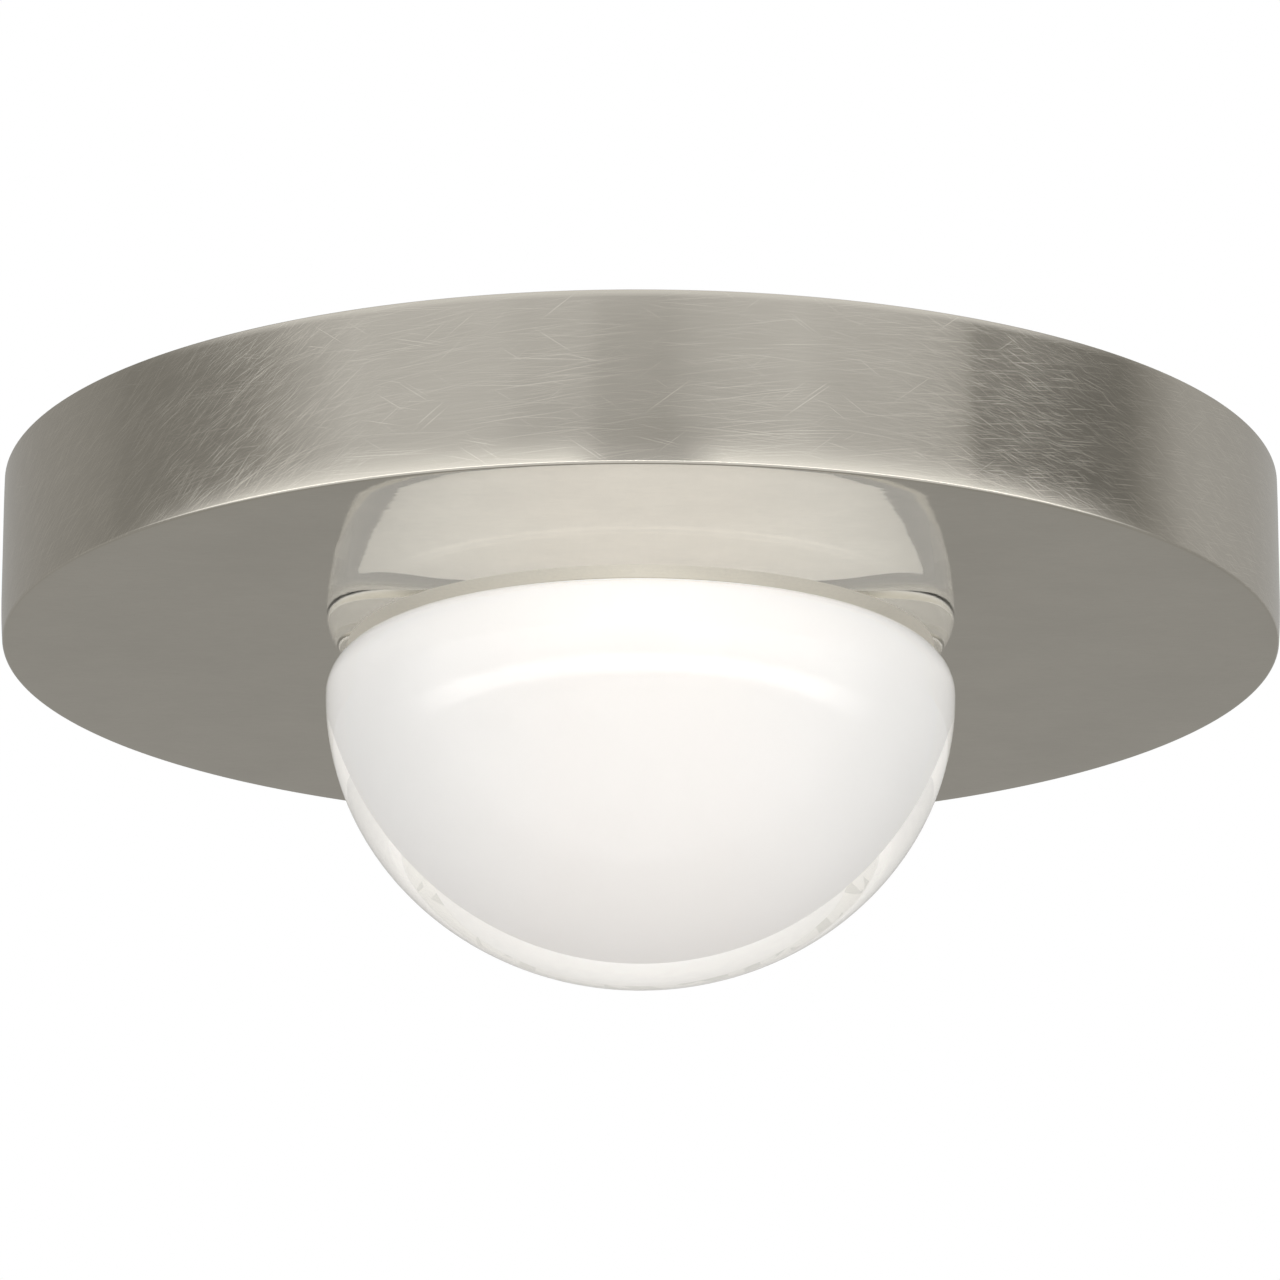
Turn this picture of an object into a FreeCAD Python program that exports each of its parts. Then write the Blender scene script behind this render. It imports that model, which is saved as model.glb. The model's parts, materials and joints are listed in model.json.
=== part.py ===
import FreeCAD, Part
import math
import os
import re
import Sketcher

# A small flush mount ceiling light: a shallow round metal canopy with a thick glass dome on
# its underside. Millimetres. The origin is the centre of the mounting plate's back face, on
# the ceiling, +Z points up, and the light hangs down along -Z. The X axis runs through the
# two slots for the ceiling box screws.

SIZES = {
    # canopy: a round pan, open towards the ceiling
    "canopy_radius": 101.6,
    "canopy_depth": 27,
    "canopy_wall": 1.5,
    "canopy_face": 2,
    "canopy_corner": 0.5,
    # clearances
    "running_gap": 0.3,
    "screw_clearance": 0.2,
    "seat_clearance": 0.15,
    # glass dome, with a neck and lugs that turn into the lock ring
    "dome_radius": 50,
    "dome_height": 52.7,
    "dome_edge": 6.5,
    "hollow_radius": 33,
    "hollow_depth": 31.5,
    "neck_radius": 37,
    "lug_reach": 3.2,
    "lug_height": 3,
    "lug_span": 24,
    "lug_count": 3,
    "lug_hole_clearance": 0.6,
    "neck_clearance": 0.6,
    "dome_turn": 40,
    "notch_play": 2,
    # dome gasket, in a groove of the glass seat
    "gasket_width": 1.6,
    "gasket_thickness": 0.9,
    "groove_depth": 0.7,
    # lock ring
    "lock_ring_thickness": 2.2,
    "lock_stop_height": 2,
    "lock_stop_span": 3,
    # weld studs, nuts and screws
    "stud_radius": 1.5,
    "stud_height": 6.5,
    "engine_stud_height": 4.3,
    "nut_corner_radius": 3.175,
    "nut_height": 2.4,
    "screw_head_radius": 2.75,
    "screw_head_height": 1.8,
    "screw_grip": 5.7,
    "drive_width": 0.8,
    "drive_depth": 0.9,
    # light engine: standoffs, heat sink, pad, board and its light emitting chips
    "engine_circle": 46,
    "engine_count": 3,
    "engine_margin": 4,
    "standoff_height": 5.3,
    "sink_thickness": 3,
    "pedestal_radius": 28.5,
    "pedestal_drop": 2.5,
    "fin_count": 18,
    "fin_thickness": 1.6,
    "fin_rise": 6,
    "fin_start": 20,
    "fin_end": 42,
    "pad_thickness": 0.5,
    "pad_margin": 0.5,
    "board_radius": 28,
    "board_thickness": 1.6,
    "board_screw_circle": 24.5,
    "board_screw_count": 3,
    "board_screw_radius": 1.25,
    "board_head_radius": 2.25,
    "board_head_height": 1.5,
    "board_screw_grip": 4.5,
    "chip_side": 3,
    "chip_height": 0.8,
    "inner_chip_circle": 10,
    "outer_chip_circle": 18,
    "lead_hole_x": 10.5,
    "lead_hole_radius": 3.2,
    "connector_x": 15,
    "connector_length": 6,
    "connector_width": 7,
    "connector_height": 3,
    # driver box on the +X side
    "driver_gap": 3,
    "driver_width": 34,
    "driver_length": 70,
    "driver_height": 13.2,
    "driver_wall": 1.5,
    "driver_lid": 2,
    "driver_lip": 1.5,
    "ear_length": 9,
    "ear_width": 14,
    "ear_thickness": 1.2,
    "ear_stud_offset": 5,
    "boss_radius": 2.4,
    "boss_inset": 2.2,
    "support_height": 1.9,
    "support_radius": 1.5,
    "circuit_thickness": 1.6,
    "circuit_margin": 0.5,
    "lid_screw_radius": 1.1,
    "lid_head_radius": 2,
    "lid_head_height": 1.3,
    "lid_screw_grip": 8,
    "core_length": 18,
    "core_width": 16,
    "core_height": 5,
    "core_leg": 4.5,
    "core_yoke": 2.5,
    "core_side": 2.25,
    "winding_height": 8,
    "winding_clearance": 0.25,
    "capacitor_radius": 4,
    "capacitor_length": 14,
    "capacitor_pitch": 11,
    "capacitor_y": -20,
    "film_width": 6,
    "film_length": 13,
    "film_height": 7.5,
    "film_x": 9,
    "film_y": 20,
    "choke_radius": 4.5,
    "choke_waist": 3.2,
    "choke_height": 7,
    "choke_flange": 1.2,
    "choke_x": -2,
    "choke_y": 19,
    # terminal block on the -X side, and the ground stud
    "block_wall_gap": 16.1,
    "block_width": 16,
    "block_length": 32,
    "block_height": 12,
    "block_ear_length": 7,
    "block_ear_thickness": 3,
    "pole_pitch": 9,
    "wire_height": 5,
    "clamp_length": 11,
    "clamp_width": 4.6,
    "clamp_height": 6,
    "clamp_floor": 2.5,
    "clamp_bore": 1.5,
    "clamp_screw_pitch": 6.4,
    "clamp_screw_radius": 1.3,
    "clamp_head_radius": 2,
    "clamp_head_height": 1.4,
    "clamp_screw_grip": 1.8,
    "ground_stud_x": -53,
    "ground_stud_y": -40,
    "eyelet_radius": 4,
    "eyelet_thickness": 0.8,
    "barrel_radius": 1.7,
    "barrel_length": 6,
    "barrel_start": 4.5,
    # mounting plate, with three bent tabs that carry the hanger ring
    "plate_radius": 62,
    "plate_thickness": 1.6,
    "wire_hole_radius": 11,
    "small_box_spacing": 69.85,
    "large_box_spacing": 88.9,
    "slot_radius": 2.25,
    "tab_count": 3,
    "tab_width": 18,
    "tab_drop": 7,
    "tab_reach": 13,
    "ground_screw_y": 25,
    "ground_screw_radius": 2,
    "ground_head_radius": 3.5,
    "ground_head_height": 2,
    # hanger ring in the canopy, on four posts
    "hanger_thickness": 1.6,
    "hanger_edge_gap": 2,
    "tab_engagement": 5,
    "tab_clearance": 0.8,
    "hanger_play": 1.2,
    "hanger_stop_span": 2.5,
    "hanger_stop_width": 3,
    "fixture_turn": 22,
    "post_offset": 0.219,
    "post_radius": 3.5,
    "terminal_access": 2.5,
    # leads
    "lead_radius": 0.9,
    "lead_lift": 0.6,
    "lead_ring_radius": 54.3,
    "lead_pitch": 3,
    "lead_turn_x_gap": 20.5,
    "lead_turn_y_gap": 17,
    "lead_climb_x_gap": 3,
    "lead_climb_y_gap": 14.5,
    "lead_gate_y_gap": 8,
    "lead_gate_x_gap": 4,
    "lead_end_depth": 10,
    "thin_lead_radius": 0.65,
    "thin_lead_pitch": 1.9,
    "thin_lead_edge_gap": 17,
    "thin_lead_middle_gap": 31,
    "clip_length": 5,
    "clip_width": 8,
    "clip_height": 3.1,
}

PLACES = {
    # heights of the faces that pieces seat on, from the ceiling down
    "plate_under": "-plate_thickness",
    "shelf_top": "-tab_drop + plate_thickness",
    "hanger_under": "shelf_top + running_gap",
    "hanger_top": "hanger_under + hanger_thickness",
    "face_inner": "-canopy_depth + canopy_face",
    "lock_top": "face_inner + lock_ring_thickness",
    "lug_under": "lock_top + running_gap",
    "neck_top": "lug_under + lug_height",
    "seat_level": "-canopy_depth - running_gap",
    "widest_level": "seat_level - dome_edge",
    "dome_lower_height": "dome_height - dome_edge",
    "sink_under": "lock_top + standoff_height",
    "sink_top": "sink_under + sink_thickness",
    "pedestal_under": "sink_under - pedestal_drop",
    "pad_under": "pedestal_under - pad_thickness",
    "board_under": "pad_under - board_thickness",
    "driver_top": "face_inner + driver_height",
    "driver_floor": "face_inner + driver_wall",
    "circuit_under": "driver_floor + support_height",
    "circuit_top": "circuit_under + circuit_thickness",
    "wire_level": "face_inner + wire_height",
    "clamp_under": "face_inner + clamp_floor",
    "clamp_top": "clamp_under + clamp_height",
    "lead_level": "face_inner + lead_lift + lead_radius",
    # radii and distances that several pieces share
    "canopy_bore": "canopy_radius - canopy_wall",
    "lug_radius": "neck_radius + lug_reach",
    "dome_hole_radius": "lug_radius + lug_hole_clearance",
    "stud_hole_radius": "stud_radius + screw_clearance",
    "engine_radius": "engine_circle + engine_margin",
    "gasket_inner": "dome_hole_radius + running_gap",
    "slot_centre": "(small_box_spacing + large_box_spacing) / 4",
    "slot_run": "(large_box_spacing - small_box_spacing) / 2",
    "hanger_bore": "plate_radius + tab_reach - tab_engagement",
    "notch_reach": "sqrt((plate_radius + tab_reach)^2 + (tab_width / 2)^2) + tab_clearance",
    # posts stand between the tabs' sweep and the canopy's wall
    "post_circle": "(notch_reach + canopy_bore) / 2 - post_offset",
    "driver_x": "engine_radius + driver_gap + driver_width / 2",
    "block_x": "-(canopy_bore - block_wall_gap - block_width / 2)",
    "driver_stud_y": "driver_length / 2 + ear_stud_offset",
    "boss_y": "driver_length / 2 - driver_wall - boss_inset",
    "block_stud_y": "block_length / 2 + block_ear_length / 2",
}

os.makedirs("parts", exist_ok=True)
doc = FreeCAD.newDocument("flush_mount_light")
nodes = []


# ---- helpers ---------------------------------------------------------------------------

def formula(text, home=""):
    """The text as an expression, with each named value looked up in its sheet."""
    def owner(match):
        word = match.group(0)
        if word in SIZES:
            return "Sizes." + word
        if word in PLACES and home != "Places":
            return "Places." + word
        return word
    return re.sub(r"[a-z]+(?:_[a-z]+)*", owner, str(text))


def fill_sheet(name, cells, mark=""):
    """A sheet with one aliased cell for each named value."""
    sheet = doc.addObject("Spreadsheet::Sheet", name)
    for row, (alias, content) in enumerate(cells.items(), start=1):
        sheet.set("A%d" % row, alias)
        sheet.set("B%d" % row, mark + formula(content, home=name))
        sheet.setAlias("B%d" % row, alias)
    return sheet


def bind(item, **formulas):
    """Ties properties of an object to named values."""
    for name, text in formulas.items():
        item.setExpression(name, formula(text))
    return item


def put(item, x=0, y=0, z=0, turn=None):
    """Ties an object's place, and its turn about Z in degrees, to named values."""
    item.setExpression("Placement.Base.x", formula(x))
    item.setExpression("Placement.Base.y", formula(y))
    item.setExpression("Placement.Base.z", formula(z))
    if turn is not None:
        item.setExpression("Placement.Rotation.Angle", formula(turn))
    return item


def node(item, name):
    """Marks an object as one finished sub-part."""
    item.Label = name
    nodes.append(item)
    return item


def solid(kind, name, **formulas):
    return bind(doc.addObject("Part::" + kind, name), **formulas)


def cylinder(name, radius, height):
    return solid("Cylinder", name, Radius=radius, Height=height)


def block(name, length, width, height):
    return solid("Box", name, Length=length, Width=width, Height=height)


def centred_block(name, length, width, height, x=0, y=0, z=0):
    """A box whose base is centred on x, y and rests at z."""
    box = block(name, length, width, height)
    return put(box, "(%s) - (%s) / 2" % (x, length), "(%s) - (%s) / 2" % (y, width), z)


def lying(item, axis):
    """Turns a cylinder so that its length runs along +X or +Y."""
    turn = {"X": FreeCAD.Rotation(FreeCAD.Vector(0, 1, 0), 90),
            "Y": FreeCAD.Rotation(FreeCAD.Vector(1, 0, 0), -90)}[axis]
    item.Placement = FreeCAD.Placement(FreeCAD.Vector(), turn)
    return item


def cut(name, base, tool):
    result = doc.addObject("Part::Cut", name)
    result.Base = base
    result.Tool = tool
    return result


def fuse(name, items):
    result = doc.addObject("Part::MultiFuse", name)
    result.Shapes = items
    return result


def group(name, items):
    """Identical loose pieces as one sub-part of separate solids."""
    result = doc.addObject("Part::Compound", name)
    result.Links = items
    return node(result, name)


def body(name):
    return node(doc.addObject("PartDesign::Body", name), name)


def origin_of(owner, role):
    return [item for item in owner.Origin.OriginFeatures if item.Role == role][0]


def feature(owner, kind, name, **formulas):
    return bind(owner.newObject("PartDesign::" + kind, name), **formulas)


def disc(owner, kind, name, radius, bottom, top, x=0, y=0):
    """A round feature from one height to another."""
    item = feature(owner, kind + "Cylinder", name, Radius=radius,
                   Height="(%s) - (%s)" % (top, bottom))
    return put(item, x, y, bottom)


def slice_of(owner, kind, name, radius, bottom, top, start, span):
    """A pie slice about Z, from the axis out to the radius."""
    item = feature(owner, kind + "Cylinder", name, Radius=radius,
                   Height="(%s) - (%s)" % (top, bottom), Angle=span)
    return put(item, 0, 0, bottom, start)


def slab(owner, kind, name, length, width, bottom, top, x=0, y=0):
    """A box feature centred on x, y, from one height to another."""
    item = feature(owner, kind + "Box", name, Length=length, Width=width,
                   Height="(%s) - (%s)" % (top, bottom))
    return put(item, "(%s) - (%s) / 2" % (x, length), "(%s) - (%s) / 2" % (y, width), bottom)


def around(owner, name, originals, count):
    """Repeats features evenly about the Z axis."""
    pattern = owner.newObject("PartDesign::PolarPattern", name)
    pattern.Originals = originals
    pattern.Axis = (origin_of(owner, "Z_Axis"), [""])
    pattern.Angle = 360
    bind(pattern, Occurrences=count)
    owner.Tip = pattern
    return pattern


def outline(owner, name, corners, plane="XZ_Plane"):
    """A closed outline of straight lines. Each corner is held by two formulas."""
    sketch = owner.newObject("Sketcher::SketchObject", name)
    sketch.AttachmentSupport = (origin_of(owner, plane), [""])
    sketch.MapMode = "FlatFace"
    count = len(corners)
    rough = [FreeCAD.Vector(math.cos(math.tau * i / count), math.sin(math.tau * i / count), 0)
             for i in range(count)]
    for i in range(count):
        sketch.addGeometry(Part.LineSegment(rough[i], rough[(i + 1) % count]), False)
    for i, corner in enumerate(corners):
        sketch.addConstraint(Sketcher.Constraint("Coincident", i, 2, (i + 1) % count, 1))
        for kind, text in zip(("DistanceX", "DistanceY"), corner):
            index = sketch.addConstraint(Sketcher.Constraint(kind, -1, 1, i, 1, 1.0))
            sketch.setExpression("Constraints[%d]" % index, formula(text))
    return sketch


def revolved(owner, kind, name, sketch):
    item = owner.newObject("PartDesign::" + kind, name)
    item.Profile = sketch
    item.ReferenceAxis = (sketch, ["V_Axis"])
    item.Angle = 360
    return item


def turned(name, corners):
    """A lathe-turned body from one closed outline of radius and height."""
    owner = body(name)
    revolved(owner, "Revolution", name + "_turning", outline(owner, name + "_outline", corners))
    return owner


def polar(radius, angle):
    """The x and y formulas of a point on a circle about Z."""
    return "(%s) * cos(%s)" % (radius, angle), "(%s) * sin(%s)" % (radius, angle)


def pan_screw(name, head_radius, head_height, shank_radius, grip, x, y, seat, up=True):
    """A slotted screw. Its head stands on the seat height, above it or, if not up, below it."""
    head = cylinder(name + "_head", head_radius, head_height)
    shank = cylinder(name + "_shank", shank_radius, "(%s) + 0.5 * (%s)" % (grip, head_height))
    drive = block(name + "_drive", "3 * (%s)" % head_radius, "drive_width", "2 * drive_depth")
    drive_x = "(%s) - 1.5 * (%s)" % (x, head_radius)
    drive_y = "(%s) - drive_width / 2" % y
    if up:
        put(head, x, y, seat)
        put(shank, x, y, "(%s) - (%s)" % (seat, grip))
        put(drive, drive_x, drive_y, "(%s) + (%s) - drive_depth" % (seat, head_height))
    else:
        put(head, x, y, "(%s) - (%s)" % (seat, head_height))
        put(shank, x, y, "(%s) - 0.5 * (%s)" % (seat, head_height))
        put(drive, drive_x, drive_y, "(%s) - (%s) - drive_depth" % (seat, head_height))
    return cut(name, fuse(name + "_blank", [head, shank]), drive)


def hex_sleeve(name, corner_radius, height, bore, x, y, z):
    """A hexagonal nut or standoff with a round bore."""
    blank = solid("Prism", name + "_blank", Circumradius=corner_radius, Height=height)
    blank.Polygon = 6
    put(blank, x, y, z)
    hole = put(cylinder(name + "_bore", bore, height), x, y, z)
    return cut(name, blank, hole)


def rounded_path(points):
    """Straight runs joined by tangent arcs, each as large as its two runs allow."""
    edges = []
    radii = []
    start = points[0]
    for before, corner, after in zip(points, points[1:], points[2:]):
        into = corner.sub(before)
        out = after.sub(corner)
        half = into.getAngle(out) / 2
        trim = 0.45 * min(into.Length, out.Length)
        radius = trim / math.tan(half)
        radii.append(radius)
        into.normalize()
        out.normalize()
        first = corner.sub(into * trim)
        last = corner.add(out * trim)
        inward = out.sub(into).normalize()
        middle = corner.add(inward * (radius / math.cos(half) - radius))
        edges.append(Part.LineSegment(start, first).toShape())
        edges.append(Part.Arc(first, middle, last).toShape())
        start = last
    edges.append(Part.LineSegment(start, points[-1]).toShape())
    return Part.Wire(edges), min(radii)


def lead(name, radius, points):
    """An insulated lead along its whole route, as a round tube."""
    path, tightest = rounded_path([FreeCAD.Vector(*point) for point in points])
    along = points[1][0] - points[0][0], points[1][1] - points[0][1], points[1][2] - points[0][2]
    section = Part.Wire(Part.Circle(FreeCAD.Vector(*points[0]), FreeCAD.Vector(*along), radius).toShape())
    item = doc.addObject("Part::Feature", name)
    item.Shape = path.makePipeShell([section], True, True)
    expected = math.pi * radius ** 2 * path.Length
    print("%s: length %.1f, tightest bend %.1f, volume / expected %.4f"
          % (name, path.Length, tightest, item.Shape.Volume / expected))
    return node(item, name)


sizes = fill_sheet("Sizes", SIZES)
places = fill_sheet("Places", PLACES, mark="=")
doc.recompute()


def size(name):
    """The number in a named cell, for routes that are worked out in code."""
    return float(sizes.get(name) if name in SIZES else places.get(name))


# ---- ceiling side: mounting plate and ground screw ---------------------------------------

def build_mounting_plate():
    """A round plate with slots for the box screws and three bent tabs with level shelves."""
    plate = body("mounting_plate")
    disc(plate, "Additive", "plate_disc", "plate_radius", "plate_under", 0)
    middle_y = "plate_radius - plate_thickness / 2"
    shelf_length = "tab_reach + plate_thickness"
    leg = slab(plate, "Additive", "tab_leg", "tab_width", "plate_thickness",
               "-tab_drop", 0, 0, middle_y)
    shelf = slab(plate, "Additive", "tab_shelf", "tab_width", shelf_length,
                 "-tab_drop", "shelf_top", 0, "plate_radius + (tab_reach - plate_thickness) / 2")
    around(plate, "tabs", [leg, shelf], "tab_count")
    disc(plate, "Subtractive", "wire_hole", "wire_hole_radius", "plate_under", 0)
    disc(plate, "Subtractive", "ground_hole", "ground_screw_radius", "plate_under", 0,
         0, "ground_screw_y")
    middle = slab(plate, "Subtractive", "slot_middle", "slot_run", "2 * slot_radius",
                  "plate_under", 0, "slot_centre")
    near = disc(plate, "Subtractive", "slot_near_end", "slot_radius", "plate_under", 0,
                "slot_centre - slot_run / 2")
    far = disc(plate, "Subtractive", "slot_far_end", "slot_radius", "plate_under", 0,
               "slot_centre + slot_run / 2")
    around(plate, "slots", [middle, near, far], 2)


def build_ground_screw():
    node(pan_screw("ground_screw", "ground_head_radius", "ground_head_height",
                   "ground_screw_radius", "plate_thickness - screw_clearance",
                   0, "ground_screw_y", "plate_under", up=False), "ground_screw")


# ---- canopy with its studs, posts and hanger ring ----------------------------------------

def build_canopy():
    canopy = turned("canopy", [
        ("dome_hole_radius", "-canopy_depth"),
        ("canopy_radius", "-canopy_depth"),
        ("canopy_radius", "0"),
        ("canopy_bore", "0"),
        ("canopy_bore", "face_inner"),
        ("dome_hole_radius", "face_inner"),
    ])
    doc.recompute()
    turning = canopy.Tip
    rim = [i for i, edge in enumerate(turning.Shape.Edges, start=1)
           if abs(edge.BoundBox.ZMax + size("canopy_depth")) < 1e-6
           and abs(edge.BoundBox.ZMin + size("canopy_depth")) < 1e-6
           and edge.BoundBox.XMax > size("canopy_bore")]
    corner = feature(canopy, "Fillet", "canopy_corner", Radius="canopy_corner")
    corner.Base = (turning, ["Edge%d" % i for i in rim])


ENGINE_TURN = "60"
POST_ANGLES = [45, 135, 225, 315]
EAR_STUDS = [("driver_x", "driver_stud_y"), ("driver_x", "-driver_stud_y"),
             ("block_x", "block_stud_y"), ("block_x", "-block_stud_y")]
GROUND_STUD = ("ground_stud_x", "ground_stud_y")


def engine_points():
    """Where the light engine's studs stand, evenly round their circle."""
    return [polar("engine_circle", "%s + %d * 360 / engine_count" % (ENGINE_TURN, i))
            for i in range(int(size("engine_count")))]


def post_points():
    return [polar("post_circle", angle) for angle in POST_ANGLES]


def build_weld_studs():
    studs = []
    for i, (x, y) in enumerate(engine_points()):
        stud = cylinder("engine_stud_%d" % i, "stud_radius", "engine_stud_height")
        studs.append(put(stud, x, y, "face_inner"))
    for i, (x, y) in enumerate(post_points() + EAR_STUDS + [GROUND_STUD]):
        stud = cylinder("long_stud_%d" % i, "stud_radius", "stud_height")
        studs.append(put(stud, x, y, "face_inner"))
    group("weld_studs", studs)


def build_posts():
    posts = []
    for i, (x, y) in enumerate(post_points()):
        post = put(cylinder("post_%d_outer" % i, "post_radius", "hanger_under - face_inner"),
                   x, y, "face_inner")
        bore = put(cylinder("post_%d_bore" % i, "stud_hole_radius", "hanger_under - face_inner"),
                   x, y, "face_inner")
        posts.append(cut("post_%d" % i, post, bore))
    group("ring_posts", posts)


def build_hanger_ring():
    """A flat ring with notches that pass the plate's tabs, stops beside each tab, and a window
    over the terminal block."""
    ring = body("hanger_ring")
    tab_angle = 90
    half_tab = "atan(tab_width / 2 / hanger_bore) / (1 deg)"
    stop_radius = "hanger_bore + hanger_stop_width"
    disc(ring, "Additive", "hanger_disc", "canopy_bore - hanger_edge_gap",
         "hanger_under", "hanger_top")
    rest_stop = slice_of(ring, "Additive", "rest_stop", stop_radius, "-tab_drop", "hanger_under",
                         "%d - %s - hanger_play - hanger_stop_span" % (tab_angle, half_tab),
                         "hanger_stop_span")
    open_stop = slice_of(ring, "Additive", "open_stop", stop_radius, "-tab_drop", "hanger_under",
                         "%d + fixture_turn + %s + hanger_play" % (tab_angle, half_tab),
                         "hanger_stop_span")
    around(ring, "hanger_stops", [rest_stop, open_stop], "tab_count")
    disc(ring, "Subtractive", "hanger_opening", "hanger_bore", "-tab_drop", "hanger_top")
    notch = slice_of(ring, "Subtractive", "tab_notch", "notch_reach", "hanger_under", "hanger_top",
                     "%d + fixture_turn - %s - hanger_play" % (tab_angle, half_tab),
                     "2 * %s + 2 * hanger_play" % half_tab)
    around(ring, "tab_notches", [notch], "tab_count")
    slab(ring, "Subtractive", "terminal_window", "block_width + 2 * terminal_access",
         "block_length + 2 * block_ear_length + 2 * terminal_access",
         "hanger_under", "hanger_top", "block_x")
    for i, (x, y) in enumerate(post_points()):
        disc(ring, "Subtractive", "post_hole_%d" % i, "stud_hole_radius",
             "hanger_under", "hanger_top", x, y)


def build_ring_screws():
    group("ring_screws", [
        pan_screw("ring_screw_%d" % i, "screw_head_radius", "screw_head_height", "stud_radius",
                  "screw_grip", x, y, "hanger_top")
        for i, (x, y) in enumerate(post_points())])


# ---- glass dome, gasket and lock ring ----------------------------------------------------

def build_glass_dome():
    """A thick glass dome with a rounded top edge, a hollow, and lugs round its short neck."""
    dome = body("glass_dome")
    disc(dome, "Additive", "dome_band", "dome_radius", "widest_level", "seat_level")
    bead_inner = "dome_radius - dome_edge"
    corner = outline(dome, "edge_waste_outline", [
        (bead_inner, "widest_level"), ("dome_radius + 1", "widest_level"),
        ("dome_radius + 1", "seat_level + 1"), (bead_inner, "seat_level + 1")])
    revolved(dome, "Groove", "edge_waste", corner)
    bead = feature(dome, "AdditiveTorus", "rounded_edge", Radius1=bead_inner, Radius2="dome_edge")
    bead.Angle1 = -90
    bead.Angle2 = 90
    put(bead, 0, 0, "widest_level")
    lower = feature(dome, "AdditiveEllipsoid", "dome_lower", Radius1="dome_lower_height",
                    Radius2="dome_radius", Radius3="dome_radius")
    lower.Angle1 = -90
    lower.Angle2 = 0
    put(lower, 0, 0, "widest_level")
    disc(dome, "Additive", "neck", "neck_radius", "seat_level", "neck_top")
    lug = slice_of(dome, "Additive", "lug", "lug_radius", "lug_under", "neck_top",
                   "-lug_span / 2", "lug_span")
    around(dome, "lugs", [lug], "lug_count")
    disc(dome, "Subtractive", "neck_hollow", "hollow_radius", "seat_level", "neck_top")
    hollow = feature(dome, "SubtractiveEllipsoid", "hollow", Radius1="hollow_depth",
                     Radius2="hollow_radius", Radius3="hollow_radius")
    hollow.Angle1 = -90
    hollow.Angle2 = 0
    put(hollow, 0, 0, "seat_level")
    groove_inner = "gasket_inner - seat_clearance"
    groove_outer = "gasket_inner + gasket_width + seat_clearance"
    groove = outline(dome, "gasket_groove_outline", [
        (groove_inner, "seat_level - groove_depth"), (groove_outer, "seat_level - groove_depth"),
        (groove_outer, "seat_level + 1"), (groove_inner, "seat_level + 1")])
    revolved(dome, "Groove", "gasket_groove", groove)


def build_dome_gasket():
    gasket_outer = "gasket_inner + gasket_width"
    bottom = "seat_level - groove_depth"
    top = "seat_level - groove_depth + gasket_thickness"
    turned("dome_gasket", [("gasket_inner", bottom), (gasket_outer, bottom),
                           (gasket_outer, top), ("gasket_inner", top)])


def build_lock_ring():
    """A ring with notches that pass the dome's lugs, and a stop at each end of their travel."""
    ring = body("dome_lock_ring")
    stop_top = "lock_top + lock_stop_height"
    disc(ring, "Additive", "lock_disc", "engine_radius", "face_inner", "lock_top")
    rest_stop = slice_of(ring, "Additive", "lug_rest_stop", "dome_hole_radius",
                         "lock_top", stop_top, "lug_span / 2 + notch_play / 2", "lock_stop_span")
    open_stop = slice_of(ring, "Additive", "lug_open_stop", "dome_hole_radius",
                         "lock_top", stop_top,
                         "-dome_turn - lug_span / 2 - notch_play - lock_stop_span",
                         "lock_stop_span")
    around(ring, "lug_stops", [rest_stop, open_stop], "lug_count")
    disc(ring, "Subtractive", "lock_opening", "neck_radius + neck_clearance",
         "face_inner", stop_top)
    notch = slice_of(ring, "Subtractive", "lug_notch", "dome_hole_radius",
                     "face_inner", "lock_top", "-dome_turn - lug_span / 2 - notch_play",
                     "lug_span + 2 * notch_play")
    around(ring, "lug_notches", [notch], "lug_count")
    x, y = polar("engine_circle", ENGINE_TURN)
    hole = disc(ring, "Subtractive", "stud_hole", "stud_hole_radius",
                "face_inner", "lock_top", x, y)
    around(ring, "stud_holes", [hole], "engine_count")


# ---- light engine ------------------------------------------------------------------------

def build_standoffs():
    group("engine_standoffs", [
        hex_sleeve("standoff_%d" % i, "nut_corner_radius", "standoff_height",
                   "stud_hole_radius", x, y, "lock_top")
        for i, (x, y) in enumerate(engine_points())])


def build_heat_sink():
    """A cast plate with a pedestal for the board below and radial fins above."""
    sink = body("heat_sink")
    disc(sink, "Additive", "sink_plate", "engine_radius", "sink_under", "sink_top")
    disc(sink, "Additive", "pedestal", "pedestal_radius", "pedestal_under", "sink_under")
    fin = slab(sink, "Additive", "fin", "fin_end - fin_start", "fin_thickness",
               "sink_top", "sink_top + fin_rise", "(fin_start + fin_end) / 2")
    turn_fin = "180 / fin_count"
    put(fin, "fin_start * cos(%s) + fin_thickness / 2 * sin(%s)" % (turn_fin, turn_fin),
        "fin_start * sin(%s) - fin_thickness / 2 * cos(%s)" % (turn_fin, turn_fin),
        "sink_top", turn_fin)
    around(sink, "fins", [fin], "fin_count")
    x, y = polar("engine_circle", ENGINE_TURN)
    hole = disc(sink, "Subtractive", "sink_screw_hole", "stud_hole_radius",
                "sink_under", "sink_top", x, y)
    around(sink, "sink_screw_holes", [hole], "engine_count")
    x, y = polar("board_screw_circle", 90)
    hole = disc(sink, "Subtractive", "board_thread", "board_screw_radius + screw_clearance / 2",
                "pedestal_under", "board_under + board_screw_grip + screw_clearance", x, y)
    around(sink, "board_threads", [hole], "board_screw_count")
    disc(sink, "Subtractive", "sink_lead_hole", "lead_hole_radius",
         "pedestal_under", "sink_top", "lead_hole_x")


def build_sink_screws():
    group("heat_sink_screws", [
        pan_screw("sink_screw_%d" % i, "screw_head_radius", "screw_head_height", "stud_radius",
                  "screw_grip", x, y, "sink_top")
        for i, (x, y) in enumerate(engine_points())])


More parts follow.
